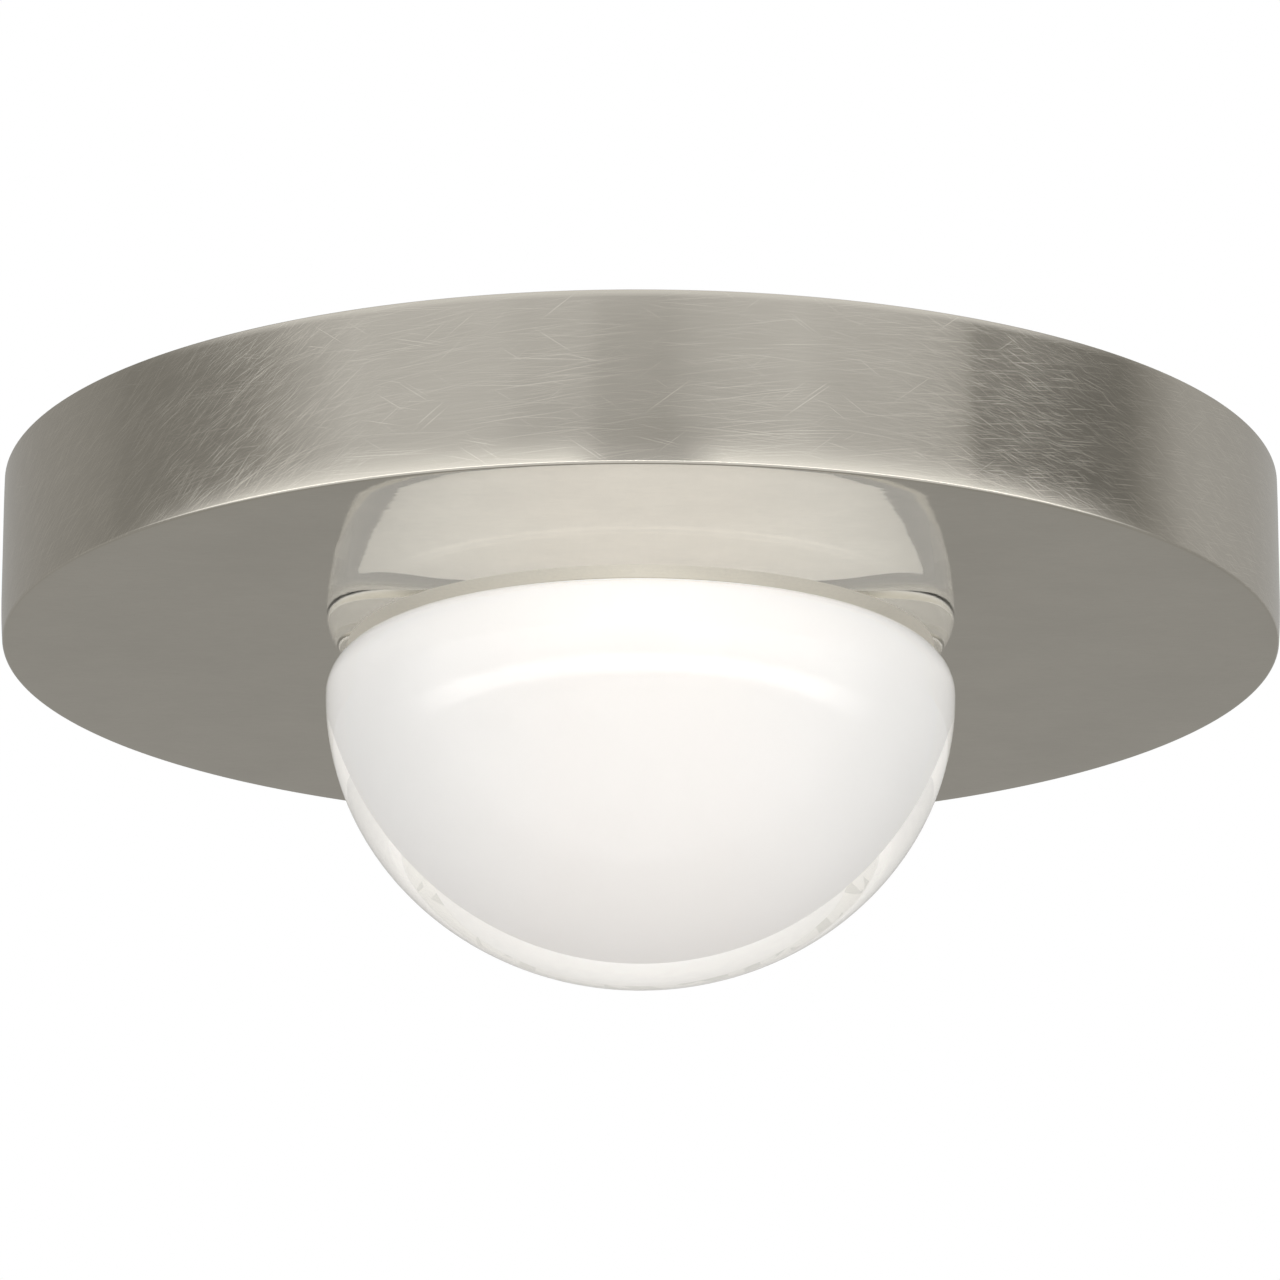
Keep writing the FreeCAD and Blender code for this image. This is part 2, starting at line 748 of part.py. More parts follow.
def round_sheet(name, radius, bottom, top):
    """A round pad or board with the holes for its screws and leads."""
    sheet = body(name)
    disc(sheet, "Additive", name + "_disc", radius, bottom, top)
    x, y = polar("board_screw_circle", 90)
    hole = disc(sheet, "Subtractive", name + "_screw_hole", "board_screw_radius + screw_clearance",
                bottom, top, x, y)
    around(sheet, name + "_screw_holes", [hole], "board_screw_count")
    disc(sheet, "Subtractive", name + "_lead_hole", "lead_hole_radius", bottom, top, "lead_hole_x")


def build_led_chips():
    """Two rings of chips. The outer ring leaves out the place of the connector."""
    chips = []
    rings = [("inner_chip_circle", 60, 5), ("outer_chip_circle", 30, 11)]
    for circle, step, count in rings:
        for i in range(count):
            x, y = polar(circle, step * (i + 1))
            chips.append(centred_block("chip_%d_%d" % (step, i), "chip_side", "chip_side",
                                       "chip_height", x, y, "board_under - chip_height"))
    group("led_chips", chips)


def build_board_connector():
    shell = block("connector_shell", "connector_length", "connector_width", "connector_height")
    put(shell, "connector_x", "-connector_width / 2", "board_under - connector_height")
    ports = []
    for side in (-1, 1):
        port = lying(cylinder("connector_port_%d" % side, "thin_lead_radius + screw_clearance",
                              "connector_length / 2"), "X")
        ports.append(put(port, "connector_x", "%d * thin_lead_pitch / 2" % side,
                         "board_under - connector_height / 2"))
    node(cut("board_connector", shell, fuse("connector_ports", ports)), "board_connector")


def build_board_screws():
    places_round = [polar("board_screw_circle", "90 + %d * 360 / board_screw_count" % i)
                    for i in range(int(size("board_screw_count")))]
    group("board_screws", [
        pan_screw("board_screw_%d" % i, "board_head_radius", "board_head_height",
                  "board_screw_radius", "board_screw_grip", x, y, "board_under", up=False)
        for i, (x, y) in enumerate(places_round)])


# ---- driver ------------------------------------------------------------------------------

def build_driver_base():
    """An open tray with two ears, bosses for the lid screws and pads for the circuit board."""
    base = body("driver_base")
    inner_width = "driver_width - 2 * driver_wall"
    inner_length = "driver_length - 2 * driver_wall"
    slab(base, "Additive", "tray", "driver_width", "driver_length", "face_inner", "driver_top",
         "driver_x")
    slab(base, "Additive", "ears", "ear_width", "driver_length + 2 * ear_length",
         "face_inner", "face_inner + ear_thickness", "driver_x")
    slab(base, "Subtractive", "tray_hollow", inner_width, inner_length,
         "driver_floor", "driver_top", "driver_x")
    for side in (-1, 1):
        tag = "left" if side < 0 else "right"
        disc(base, "Additive", "boss_" + tag, "boss_radius", "driver_floor",
             "driver_top - driver_lip", "driver_x", "%d * boss_y" % side)
        disc(base, "Subtractive", "boss_bore_" + tag, "lid_screw_radius + screw_clearance / 2",
             "driver_floor + driver_wall", "driver_top", "driver_x", "%d * boss_y" % side)
        disc(base, "Subtractive", "ear_hole_" + tag, "stud_hole_radius", "face_inner",
             "face_inner + ear_thickness", "driver_x", "%d * driver_stud_y" % side)
        for end in (-1, 1):
            disc(base, "Additive", "pad_%s_%d" % (tag, end + 1), "support_radius",
                 "driver_floor", "circuit_under", "driver_x + %d * driver_width / 3" % side,
                 "%d * driver_length / 3" % end)
    slab(base, "Subtractive", "thin_lead_gate", "driver_wall", "3 * thin_lead_pitch",
         "driver_top - driver_lip - 2.4 * thin_lead_radius", "driver_top",
         "driver_x - (driver_width - driver_wall) / 2")
    slab(base, "Subtractive", "supply_lead_gate", "2.2 * lead_pitch", "driver_wall",
         "circuit_top", "circuit_top + 3 * lead_radius",
         "driver_x - driver_width / 2 + 5.5", "(driver_length - driver_wall) / 2")


def build_driver_cover():
    """A flat lid with a lip that drops just inside the tray's walls."""
    cover = body("driver_cover")
    lip_width = "driver_width - 2 * driver_wall - 2 * seat_clearance"
    lip_length = "driver_length - 2 * driver_wall - 2 * seat_clearance"
    lid_top = "driver_top + driver_lid"
    slab(cover, "Additive", "lid", "driver_width", "driver_length", "driver_top", lid_top,
         "driver_x")
    slab(cover, "Additive", "lip", lip_width, lip_length, "driver_top - driver_lip",
         "driver_top", "driver_x")
    slab(cover, "Subtractive", "lip_hollow", "%s - 2 * driver_wall" % lip_width,
         "2 * (boss_y - boss_radius)", "driver_top - driver_lip", "driver_top", "driver_x")
    for side in (-1, 1):
        disc(cover, "Subtractive", "lid_hole_%d" % (side + 1), "lid_screw_radius + screw_clearance",
             "driver_top - driver_lip", lid_top, "driver_x", "%d * boss_y" % side)
    slab(cover, "Subtractive", "lip_gate", "3 * driver_wall", "3 * thin_lead_pitch",
         "driver_top - driver_lip", "driver_top", "driver_x - driver_width / 2 + driver_wall")


def build_cover_screws():
    group("driver_cover_screws", [
        pan_screw("cover_screw_%d" % i, "lid_head_radius", "lid_head_height", "lid_screw_radius",
                  "lid_screw_grip", "driver_x", "%d * boss_y" % side, "driver_top + driver_lid")
        for i, side in enumerate((-1, 1))])


def build_driver_board():
    board = body("driver_board")
    slab(board, "Additive", "circuit", "driver_width - 2 * driver_wall - 2 * circuit_margin",
         "2 * (boss_y - boss_radius - circuit_margin)", "circuit_under", "circuit_top", "driver_x")


def build_transformer():
    """A flat ferrite core with two windows, and the winding round its middle leg."""
    middle = "circuit_top + winding_height / 2"
    window_width = "(core_length - 2 * core_side - core_leg) / 2"
    window_length = "core_width - 2 * core_yoke"
    core = body("transformer_core")
    low = "%s - core_height / 2" % middle
    high = "%s + core_height / 2" % middle
    slab(core, "Additive", "ferrite", "core_length", "core_width", low, high, "driver_x")
    for side in (-1, 1):
        slab(core, "Subtractive", "window_%d" % (side + 1), window_width, window_length, low, high,
             "driver_x + %d * (core_leg + %s) / 2" % (side, window_width))
    winding = body("transformer_winding")
    turns_length = "%s - 2 * winding_clearance" % window_length
    slab(winding, "Additive", "turns", "core_length - 2 * core_side - 2 * winding_clearance",
         turns_length, "circuit_top", "circuit_top + winding_height", "driver_x")
    slab(winding, "Subtractive", "leg_passage", "core_leg + 2 * winding_clearance", turns_length,
         "%s - winding_clearance" % low, "%s + winding_clearance" % high, "driver_x")


def build_driver_parts():
    """The larger parts on the circuit board, besides the transformer."""
    cans = []
    for i, side in enumerate((-1, 1)):
        can = lying(cylinder("capacitor_%d" % i, "capacitor_radius", "capacitor_length"), "Y")
        cans.append(put(can, "driver_x + %d * capacitor_pitch / 2" % side,
                        "capacitor_y - capacitor_length / 2", "circuit_top + capacitor_radius"))
    group("electrolytic_capacitors", cans)
    film = centred_block("film_case", "film_width", "film_length", "film_height",
                         "driver_x + film_x", "film_y", "circuit_top")
    node(film, "film_capacitor")
    choke = body("line_choke")
    top = "circuit_top + choke_height"
    x = "driver_x + choke_x"
    disc(choke, "Additive", "drum_foot", "choke_radius", "circuit_top",
         "circuit_top + choke_flange", x, "choke_y")
    disc(choke, "Additive", "drum_waist", "choke_waist", "circuit_top + choke_flange",
         "%s - choke_flange" % top, x, "choke_y")
    disc(choke, "Additive", "drum_head", "choke_radius", "%s - choke_flange" % top, top,
         x, "choke_y")


# ---- terminals and grounding -------------------------------------------------------------

POLES = (-1, 0, 1)


def build_terminal_block():
    """A moulded block with one open well for each pole and an ear with a hole at each end."""
    terminal = body("terminal_block")
    top = "face_inner + block_height"
    slab(terminal, "Additive", "block_case", "block_width", "block_length", "face_inner", top,
         "block_x")
    slab(terminal, "Additive", "block_ears", "block_width / 2",
         "block_length + 2 * block_ear_length", "face_inner", "face_inner + block_ear_thickness",
         "block_x")
    for side in (-1, 1):
        disc(terminal, "Subtractive", "ear_bore_%d" % (side + 1), "stud_hole_radius",
             "face_inner", "face_inner + block_ear_thickness", "block_x", "%d * block_stud_y" % side)
    for i, pole in enumerate(POLES):
        slab(terminal, "Subtractive", "well_%d" % i, "clamp_length + 2 * seat_clearance",
             "clamp_width + 2 * seat_clearance", "clamp_under", top,
             "block_x", "%d * pole_pitch" % pole)
        entry = feature(terminal, "SubtractiveCylinder", "entry_%d" % i, Radius="clamp_bore",
                        Height="block_width")
        lying(entry, "X")
        put(entry, "block_x - block_width / 2", "%d * pole_pitch" % pole, "wire_level")


def build_terminal_clamps():
    """One brass clamp for each pole, and two screws that press the wires in it."""
    clamps = []
    screws = []
    for i, pole in enumerate(POLES):
        y = "%d * pole_pitch" % pole
        bar = centred_block("clamp_%d_bar" % i, "clamp_length", "clamp_width", "clamp_height",
                            "block_x", y, "clamp_under")
        bore = lying(cylinder("clamp_%d_bore" % i, "clamp_bore", "clamp_length"), "X")
        tools = [put(bore, "block_x - clamp_length / 2", y, "wire_level")]
        for end in (-1, 1):
            x = "block_x + %d * clamp_screw_pitch / 2" % end
            name = "clamp_%d_screw_%d" % (i, end + 1)
            thread = cylinder(name + "_thread", "clamp_screw_radius + screw_clearance / 2",
                              "clamp_top - wire_level")
            tools.append(put(thread, x, y, "wire_level"))
            screws.append(pan_screw(name, "clamp_head_radius", "clamp_head_height",
                                    "clamp_screw_radius", "clamp_screw_grip", x, y, "clamp_top"))
        clamps.append(cut("clamp_%d" % i, bar, fuse("clamp_%d_tools" % i, tools)))
    group("terminal_clamps", clamps)
    group("terminal_screws", screws)


def build_ground_eyelet():
    """A ring terminal: a flat eye under the nut and a crimp barrel for the lead."""
    x, y = GROUND_STUD
    eye = put(cylinder("eye", "eyelet_radius", "eyelet_thickness"), x, y, "face_inner")
    tongue = centred_block("tongue", "2 * barrel_radius", "barrel_start", "eyelet_thickness",
                           x, "%s + barrel_start / 2 + barrel_radius" % y, "face_inner")
    barrel = lying(cylinder("barrel", "barrel_radius", "barrel_length"), "Y")
    put(barrel, x, "%s + barrel_start" % y, "face_inner + barrel_radius")
    hole = put(cylinder("eye_hole", "stud_hole_radius", "eyelet_thickness"), x, y, "face_inner")
    bore = lying(cylinder("barrel_bore", "lead_radius + screw_clearance", "barrel_length"), "Y")
    put(bore, x, "%s + barrel_start" % y, "face_inner + barrel_radius")
    blank = fuse("eyelet_blank", [eye, tongue, barrel])
    node(cut("ground_eyelet", blank, fuse("eyelet_tools", [hole, bore])), "ground_eyelet")


def build_stud_nuts():
    seats = ["face_inner + ear_thickness"] * 2 + ["face_inner + block_ear_thickness"] * 2
    seats.append("face_inner + eyelet_thickness")
    group("stud_nuts", [
        hex_sleeve("stud_nut_%d" % i, "nut_corner_radius", "nut_height", "stud_hole_radius",
                   x, y, seat)
        for i, ((x, y), seat) in enumerate(zip(EAR_STUDS + [GROUND_STUD], seats))])


# ---- leads -------------------------------------------------------------------------------

LANE_ANGLES = [155, 130, 105, 80]


def lane_radius(lane):
    return size("lead_ring_radius") + lane * size("lead_pitch")


def build_supply_leads():
    """Line and neutral, from the terminal block round the heat sink to the driver."""
    exit_x = size("block_x") + size("block_width") / 2
    wire_level = size("wire_level")
    rest = size("lead_level")
    board_level = size("circuit_top") + size("lead_radius") + 0.1
    wall_x = size("driver_x") - size("driver_width") / 2
    wall_y = size("driver_length") / 2
    for name, pole, lane in (("ac_line_lead", 1, 1), ("ac_neutral_lead", 0, 0)):
        radius = lane_radius(lane)
        pole_y = pole * size("pole_pitch")
        gate_x = wall_x + size("lead_gate_x_gap") + lane * size("lead_pitch")
        route = [(exit_x - 5, pole_y, wire_level), (-radius, pole_y, rest + 2)]
        for angle in LANE_ANGLES:
            turn = math.radians(angle)
            route.append((radius * math.cos(turn), radius * math.sin(turn), rest))
        side = lane * size("lead_pitch")
        route.append((wall_x - size("lead_turn_x_gap") + lane,
                      wall_y + size("lead_turn_y_gap") + side, rest))
        route.append((wall_x - size("lead_climb_x_gap") + lane,
                      wall_y + size("lead_climb_y_gap") + side, rest + 1.5))
        route.append((gate_x, wall_y + size("lead_gate_y_gap") + side * 0.7, board_level))
        route.append((gate_x, wall_y - size("lead_end_depth"), board_level))
        lead(name, size("lead_radius"), route)


def build_ground_lead():
    """From the third pole to the barrel of the ring terminal."""
    x = size("ground_stud_x")
    barrel_y = size("ground_stud_y") + size("barrel_start")
    barrel_level = size("face_inner") + size("barrel_radius")
    pole_y = -size("pole_pitch")
    exit_x = size("block_x") + size("block_width") / 2
    lead("ground_lead", size("lead_radius"), [
        (exit_x - 5, pole_y, size("wire_level")), (x, pole_y, barrel_level + 1.5),
        (x, barrel_y + 12.5, barrel_level), (x, barrel_y + 2, barrel_level - 0.0001)])


def build_board_leads():
    """From the driver over the heat sink, down its lead hole and into the board's connector."""
    wall_x = size("driver_x") - size("driver_width") / 2
    over_sink = size("sink_top") + size("thin_lead_radius")
    port = size("board_under") - size("connector_height") / 2
    hole_x = size("lead_hole_x")
    end_x = size("connector_x")
    gate = size("driver_top") - size("driver_lip") + 0.1
    for name, side in (("dc_positive_lead", 1), ("dc_negative_lead", -1)):
        y = side * size("thin_lead_pitch") / 2
        lead(name, size("thin_lead_radius"), [
            (wall_x + 4.6, y, size("circuit_top")),
            (wall_x + 4.6, y, gate - 2.8),
            (wall_x + 2.2, y, gate - 0.2),
            (wall_x - 4, y, gate),
            (wall_x - size("thin_lead_edge_gap"), y, over_sink + 0.2),
            (wall_x - size("thin_lead_middle_gap"), y, over_sink + 0.4),
            (hole_x + 3, y, over_sink + 1.2),
            (hole_x - 0.6, y, over_sink - 2),
            (hole_x - 0.9, y, port + 2.6),
            (end_x - 3.4, y, port),
            (end_x + 0.8, y, port)])


def build_lead_clips():
    """Two moulded clips that hold both supply leads on the canopy's inner face."""
    chord = math.cos(math.radians((LANE_ANGLES[0] - LANE_ANGLES[1]) / 2))
    inner = lane_radius(0) * chord
    outer = lane_radius(1) * chord
    clips = []
    for i, angle in enumerate(((LANE_ANGLES[0] + LANE_ANGLES[1]) / 2,
                               (LANE_ANGLES[2] + LANE_ANGLES[3]) / 2)):
        saddle = block("clip_%d_saddle" % i, "clip_width", "clip_length", "clip_height")
        saddle.Placement.Base = FreeCAD.Vector((inner + outer - size("clip_width")) / 2,
                                               -size("clip_length") / 2, size("face_inner"))
        bores = []
        for lane, middle in enumerate((inner, outer)):
            bore = lying(cylinder("clip_%d_bore_%d" % (i, lane), "lead_radius + screw_clearance",
                                  "clip_length"), "Y")
            bores.append(put(bore, middle, "-clip_length / 2", "lead_level"))
        clip = cut("clip_%d" % i, saddle, fuse("clip_%d_bores" % i, bores))
        clips.append(put(clip, turn=angle))
    group("lead_clips", clips)


# ---- build, check and write --------------------------------------------------------------

build_mounting_plate()
build_ground_screw()
build_canopy()
build_weld_studs()
build_posts()
build_hanger_ring()
build_ring_screws()
build_glass_dome()
build_dome_gasket()
build_lock_ring()
build_standoffs()
build_heat_sink()
build_sink_screws()
round_sheet("thermal_pad", "board_radius - pad_margin", "pad_under", "pedestal_under")
round_sheet("led_board", "board_radius", "board_under", "pad_under")
build_led_chips()
build_board_connector()
build_board_screws()
build_driver_base()
build_driver_cover()
build_cover_screws()
build_driver_board()
build_transformer()
build_driver_parts()
build_terminal_block()
build_terminal_clamps()
build_ground_eyelet()
build_stud_nuts()
build_supply_leads()
build_ground_lead()
build_board_leads()
build_lead_clips()
doc.recompute()

for item in doc.Objects:
    if "Invalid" in item.State or "Error" in item.State:
        raise RuntimeError("%s failed to build: %s" % (item.Name, item.State))

for item in nodes:
    shape = item.Shape
    if shape.isNull() or not shape.isValid() or not shape.Solids:
        raise RuntimeError("%s has no valid solid" % item.Label)
    shape.exportStep("parts/%s.step" % item.Label)

print("wrote %d sub-parts" % len(nodes))
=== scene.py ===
import json
import math

import bmesh
import bpy
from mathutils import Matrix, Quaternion, Vector


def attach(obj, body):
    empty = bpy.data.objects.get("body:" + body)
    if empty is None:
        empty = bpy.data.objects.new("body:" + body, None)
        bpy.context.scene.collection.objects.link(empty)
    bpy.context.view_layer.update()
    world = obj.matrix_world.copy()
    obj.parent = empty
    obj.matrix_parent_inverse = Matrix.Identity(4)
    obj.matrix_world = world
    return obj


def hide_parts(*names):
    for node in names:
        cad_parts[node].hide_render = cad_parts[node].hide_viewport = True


# A small flush mount ceiling light, seen from below. Metres, with sizes in millimetres times MM.
# The canopy and the glass dome are turned again as fine meshes on the sizes of their solids.
# All other pieces keep their solids and get their finishes here.

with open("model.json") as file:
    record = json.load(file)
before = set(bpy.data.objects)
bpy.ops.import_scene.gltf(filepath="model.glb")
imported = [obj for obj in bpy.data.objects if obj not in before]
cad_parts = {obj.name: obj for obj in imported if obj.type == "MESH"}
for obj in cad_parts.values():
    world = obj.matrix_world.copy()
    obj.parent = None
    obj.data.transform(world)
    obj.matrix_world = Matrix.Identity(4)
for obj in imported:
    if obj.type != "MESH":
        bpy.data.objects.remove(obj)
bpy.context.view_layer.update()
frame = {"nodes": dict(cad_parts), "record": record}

MM = 0.001
FULL_TURN = 2 * math.pi
PHOTO_PIXELS = 1280

# canopy
CANOPY_RADIUS = 101.6
CANOPY_DEPTH = 27.0
CANOPY_BORE = 100.1
FACE_INNER = -25.0
DOME_HOLE_RADIUS = 40.8
EDGE_ROUND = 0.3
FLOOR_ROUND = 1.0
RIM_CORNER = 0.5
RIM_ROLL_HEIGHT = 6.5
RIM_ROLL_DEPTH = 0.25
TOP_ROLL_HEIGHT = 6.0
TOP_ROLL_DEPTH = 0.05
TOP_CORNER = 0.15
FACE_FLAT_START = 0.7
FACE_ROLL_WIDTH = 5.0
FACE_ROLL_RISE = 0.10
FACE_END = CANOPY_RADIUS - RIM_ROLL_DEPTH - RIM_CORNER
WALL_FOOT = -CANOPY_DEPTH + FACE_ROLL_RISE + RIM_CORNER

# glass dome
SEAT_LEVEL = -27.3
DOME_RADIUS = 50.0
DOME_TIP = -80.0
DOME_EDGE = 6.5
HOLLOW_RADIUS = 33.0
HOLLOW_TIP = -58.8
NECK_RADIUS = 37.0
NECK_TOP = -19.5
LUG_RADIUS = 40.2
LUG_UNDER = -22.5
LUG_SPAN = math.radians(24)
LUG_COUNT = 3
GROOVE_INNER = 40.95
GROOVE_OUTER = 42.85
GROOVE_FLOOR = -28.0

# fineness of the turned meshes
SEGMENTS = 360
EDGE_STEPS = 4
FLOOR_ROUND_STEPS = 6
RIM_STEPS = 8
TOP_ROLL_STEPS = 6
TOP_CORNER_STEPS = 5
HOLLOW_STEPS = 48
BEAD_STEPS = 24
GROUND_BEAD_STEPS = 8
LOWER_STEPS = 96
SHARP_ANGLE = math.radians(40)
SAME_ANGLE = 1e-6
WELD_DISTANCE = 1e-7
THIN_DISTANCE = 1e-8


# ---- turned meshes -----------------------------------------------------------------------

def arc(centre, radius, start, end, steps):
    """Points of an arc in the plane of radius and height. Angles in degrees."""
    points = []
    for i in range(steps + 1):
        turn = math.radians(start + (end - start) * i / steps)
        points.append((centre[0] + radius * math.cos(turn), centre[1] + radius * math.sin(turn)))
    return points


def ellipse(centre_z, width, height, start, end, steps):
    """Points of an ellipse about the Z axis, in the plane of radius and height."""
    points = []
    for i in range(steps + 1):
        turn = math.radians(start + (end - start) * i / steps)
        points.append((max(width * math.cos(turn), 0.0), centre_z + height * math.sin(turn)))
    return points


def turned(name, sections, slots, materials):
    """A closed body of revolution.

    Each section is an angle and a closed outline at it. The slots hold the material of the
    face that starts at each point of the outline.
    """
    mesh = bpy.data.meshes.new(name)
    shape = bmesh.new()
    rings = []
    for angle, outline in sections:
        rings.append([shape.verts.new((r * MM * math.cos(angle), r * MM * math.sin(angle), z * MM))
                      for r, z in outline])
    count = len(rings[0])
    for i, ring in enumerate(rings):
        after = rings[(i + 1) % len(rings)]
        for j in range(count):
            k = (j + 1) % count
            face = shape.faces.new((ring[j], ring[k], after[k], after[j]))
            face.material_index = slots[j]
            face.smooth = True
    bmesh.ops.remove_doubles(shape, verts=shape.verts, dist=WELD_DISTANCE)
    bmesh.ops.dissolve_degenerate(shape, edges=shape.edges, dist=THIN_DISTANCE)
    bmesh.ops.recalc_face_normals(shape, faces=shape.faces)
    shape.to_mesh(mesh)
    shape.free()
    mesh.set_sharp_from_angle(angle=SHARP_ANGLE)
    for material in materials:
        mesh.materials.append(material)
    piece = bpy.data.objects.new(name, mesh)
    bpy.context.scene.collection.objects.link(piece)
    return piece


# ---- node helpers ------------------------------------------------------------------------

def opaque(colour):
    return (*colour, 1.0)


def tint(colour, factor):
    return tuple(min(part * factor, 1.0) for part in colour)


class Nodes:
    """Short calls that add shader nodes to a tree. Each gives back an output to link from."""

    def __init__(self, tree):
        self.tree = tree

    def node(self, kind, **settings):
        node = self.tree.nodes.new("ShaderNode" + kind)
        for key, value in settings.items():
            setattr(node, key, value)
        return node

    def add(self, kind, inputs, output=0, **settings):
        """Adds a node whose inputs are numbers, colours or outputs of other nodes."""
        node = self.node(kind, **settings)
        for socket, value in inputs.items():
            if isinstance(value, bpy.types.NodeSocket):
                self.tree.links.new(value, node.inputs[socket])
            else:
                node.inputs[socket].default_value = value
        return node.outputs[output]

    def math(self, operation, *values):
        return self.add("Math", dict(enumerate(values)), operation=operation)

    def split(self, vector):
        node = self.node("SeparateXYZ")
        self.tree.links.new(vector, node.inputs[0])
        return node.outputs[0], node.outputs[1], node.outputs[2]

    def bearing_and_height(self, vector):
        """The angle of a vector from the front, in radians, and its height."""
        across, depth, height = self.split(vector)
        return self.math("ARCTAN2", across, self.math("MULTIPLY", depth, -1.0)), height

    def stretched(self, source, scale, turn=(0, 0, 0)):
        return self.add("Mapping", {"Vector": source, "Scale": scale, "Rotation": turn})

    def noise(self, source, scale, detail=2.0, roughness=0.5):
        return self.add("TexNoise", {
            "Vector": source, "Scale": scale, "Detail": detail, "Roughness": roughness})

    def spread(self, source, low, high, start=0.3, end=0.7):
        """Maps the range from start to end of a pattern to the range from low to high."""
        return self.add("MapRange", {0: source, 1: start, 2: end, 3: low, 4: high}, clamp=True)

    def rise(self, source, start, end):
        """Rises softly from 0 at start to 1 at end, which may lie either way round."""
        return self.add("MapRange", {0: source, 1: start, 2: end},
                        interpolation_type="SMOOTHSTEP")

    def blend(self, factor, first, second):
        """A number between the first, at factor 0, and the second, at factor 1."""
        change = self.math("SUBTRACT", second, first)
        return self.math("MULTIPLY_ADD", factor, change, first)

    def mixed(self, factor, first, second):
        """A colour between the first, at factor 0, and the second, at factor 1."""
        return self.add("Mix", {0: factor, 6: first, 7: second}, output=2, data_type="RGBA")

    def shades(self, source, stops):
        """Maps a pattern to colours. Each stop is a position and a colour."""
        node = self.node("ValToRGB")
        first, last = node.color_ramp.elements
        first.position = stops[0][0]
        first.color = opaque(stops[0][1])
        last.position = stops[-1][0]
        last.color = opaque(stops[-1][1])
        for position, colour in stops[1:-1]:
            node.color_ramp.elements.new(position).color = opaque(colour)
        self.tree.links.new(source, node.inputs[0])
        return node.outputs[0]


class Finish(Nodes):
    """A material with one Principled shader."""

    def __init__(self, name, colour, roughness, metallic=0.0):
        self.material = bpy.data.materials.new(name)
        self.material.use_nodes = True
        super().__init__(self.material.node_tree)
        self.shader = self.tree.nodes["Principled BSDF"]
        self.set("Base Color", opaque(colour))
        self.set("Roughness", roughness)
        self.set("Metallic", metallic)
        self.material.diffuse_color = opaque(colour)

    def set(self, socket, value):
        self.shader.inputs[socket].default_value = value

    def link(self, source, socket):
        self.tree.links.new(source, self.shader.inputs[socket])

    def place(self):
        return self.node("TexCoord").outputs["Object"]

    def bump(self, height, strength, depth):
        """Relief from a pattern. The depth is in millimetres."""
        self.link(self.add("Bump", {
            "Height": height, "Strength": strength, "Distance": depth * MM}), "Normal")


# ---- nickel of the canopy ----------------------------------------------------------------

NICKEL = (0.66, 0.632, 0.565)
NICKEL_FACE = (0.635, 0.61, 0.54)
# painted glint: the scratches are painted up to this much lighter than the metal in the base
# colour
SCRATCH_GLINT_TINT = 1.35
SCRATCH_GLINT_STRENGTH = 0.55
SCRATCH_ROUGHNESS = 0.08
SCRATCH_EDGE = 0.10
SCRATCH_SCALE_STEP = 0.13
# where the steep marks end and the crossing marks start, in metres along the wall's front
STEEP_MARKS_END = (-0.062, -0.036)
CROSSING_MARKS_START = (0.030, 0.060)


def hairlines(finish, source, angles, length, width, start):
    """Fine scratches in several directions, each a thin peak of a stretched noise.

    Angles in degrees, length and width in millimetres.
    """
    total = None
    for i, angle in enumerate(angles):
        turned_source = finish.stretched(source, (1, 1, 1), (0, 0, -math.radians(angle)))
        lines = finish.stretched(turned_source, (1 / (length * MM), 1 / (width * MM), 1.0))
        pattern = finish.noise(lines, scale=1.0 + SCRATCH_SCALE_STEP * i, detail=1.0)
        peak = finish.spread(pattern, 0.0, 1.0, start, start + SCRATCH_EDGE)
        total = peak if total is None else finish.math("MAXIMUM", total, peak)
    return total


def hand_marks(finish, along, wall):
    """The hand moved steeply on the left, flat in the middle and across on the right."""
    steep = hairlines(finish, wall, (24, 33, 46), length=9.0, width=0.15, start=0.61)
    flat = hairlines(finish, wall, (5, -4, 10), length=30.0, width=0.15, start=0.64)
    crossing = hairlines(finish, wall, (9, -10, -27), length=8.0, width=0.15, start=0.61)
    stray = hairlines(finish, wall, (38, -35, -14), length=16.0, width=0.18, start=0.70)
    marks = finish.math("MULTIPLY", steep, finish.spread(along, 1.0, 0.0, *STEEP_MARKS_END))
    marks = finish.math("MAXIMUM", marks, finish.math("MULTIPLY", flat, 0.6))
    marks = finish.math("MAXIMUM", marks, finish.math(
        "MULTIPLY", crossing, finish.spread(along, 0.0, 1.0, *CROSSING_MARKS_START)))
    return finish.math("MAXIMUM", marks, stray)


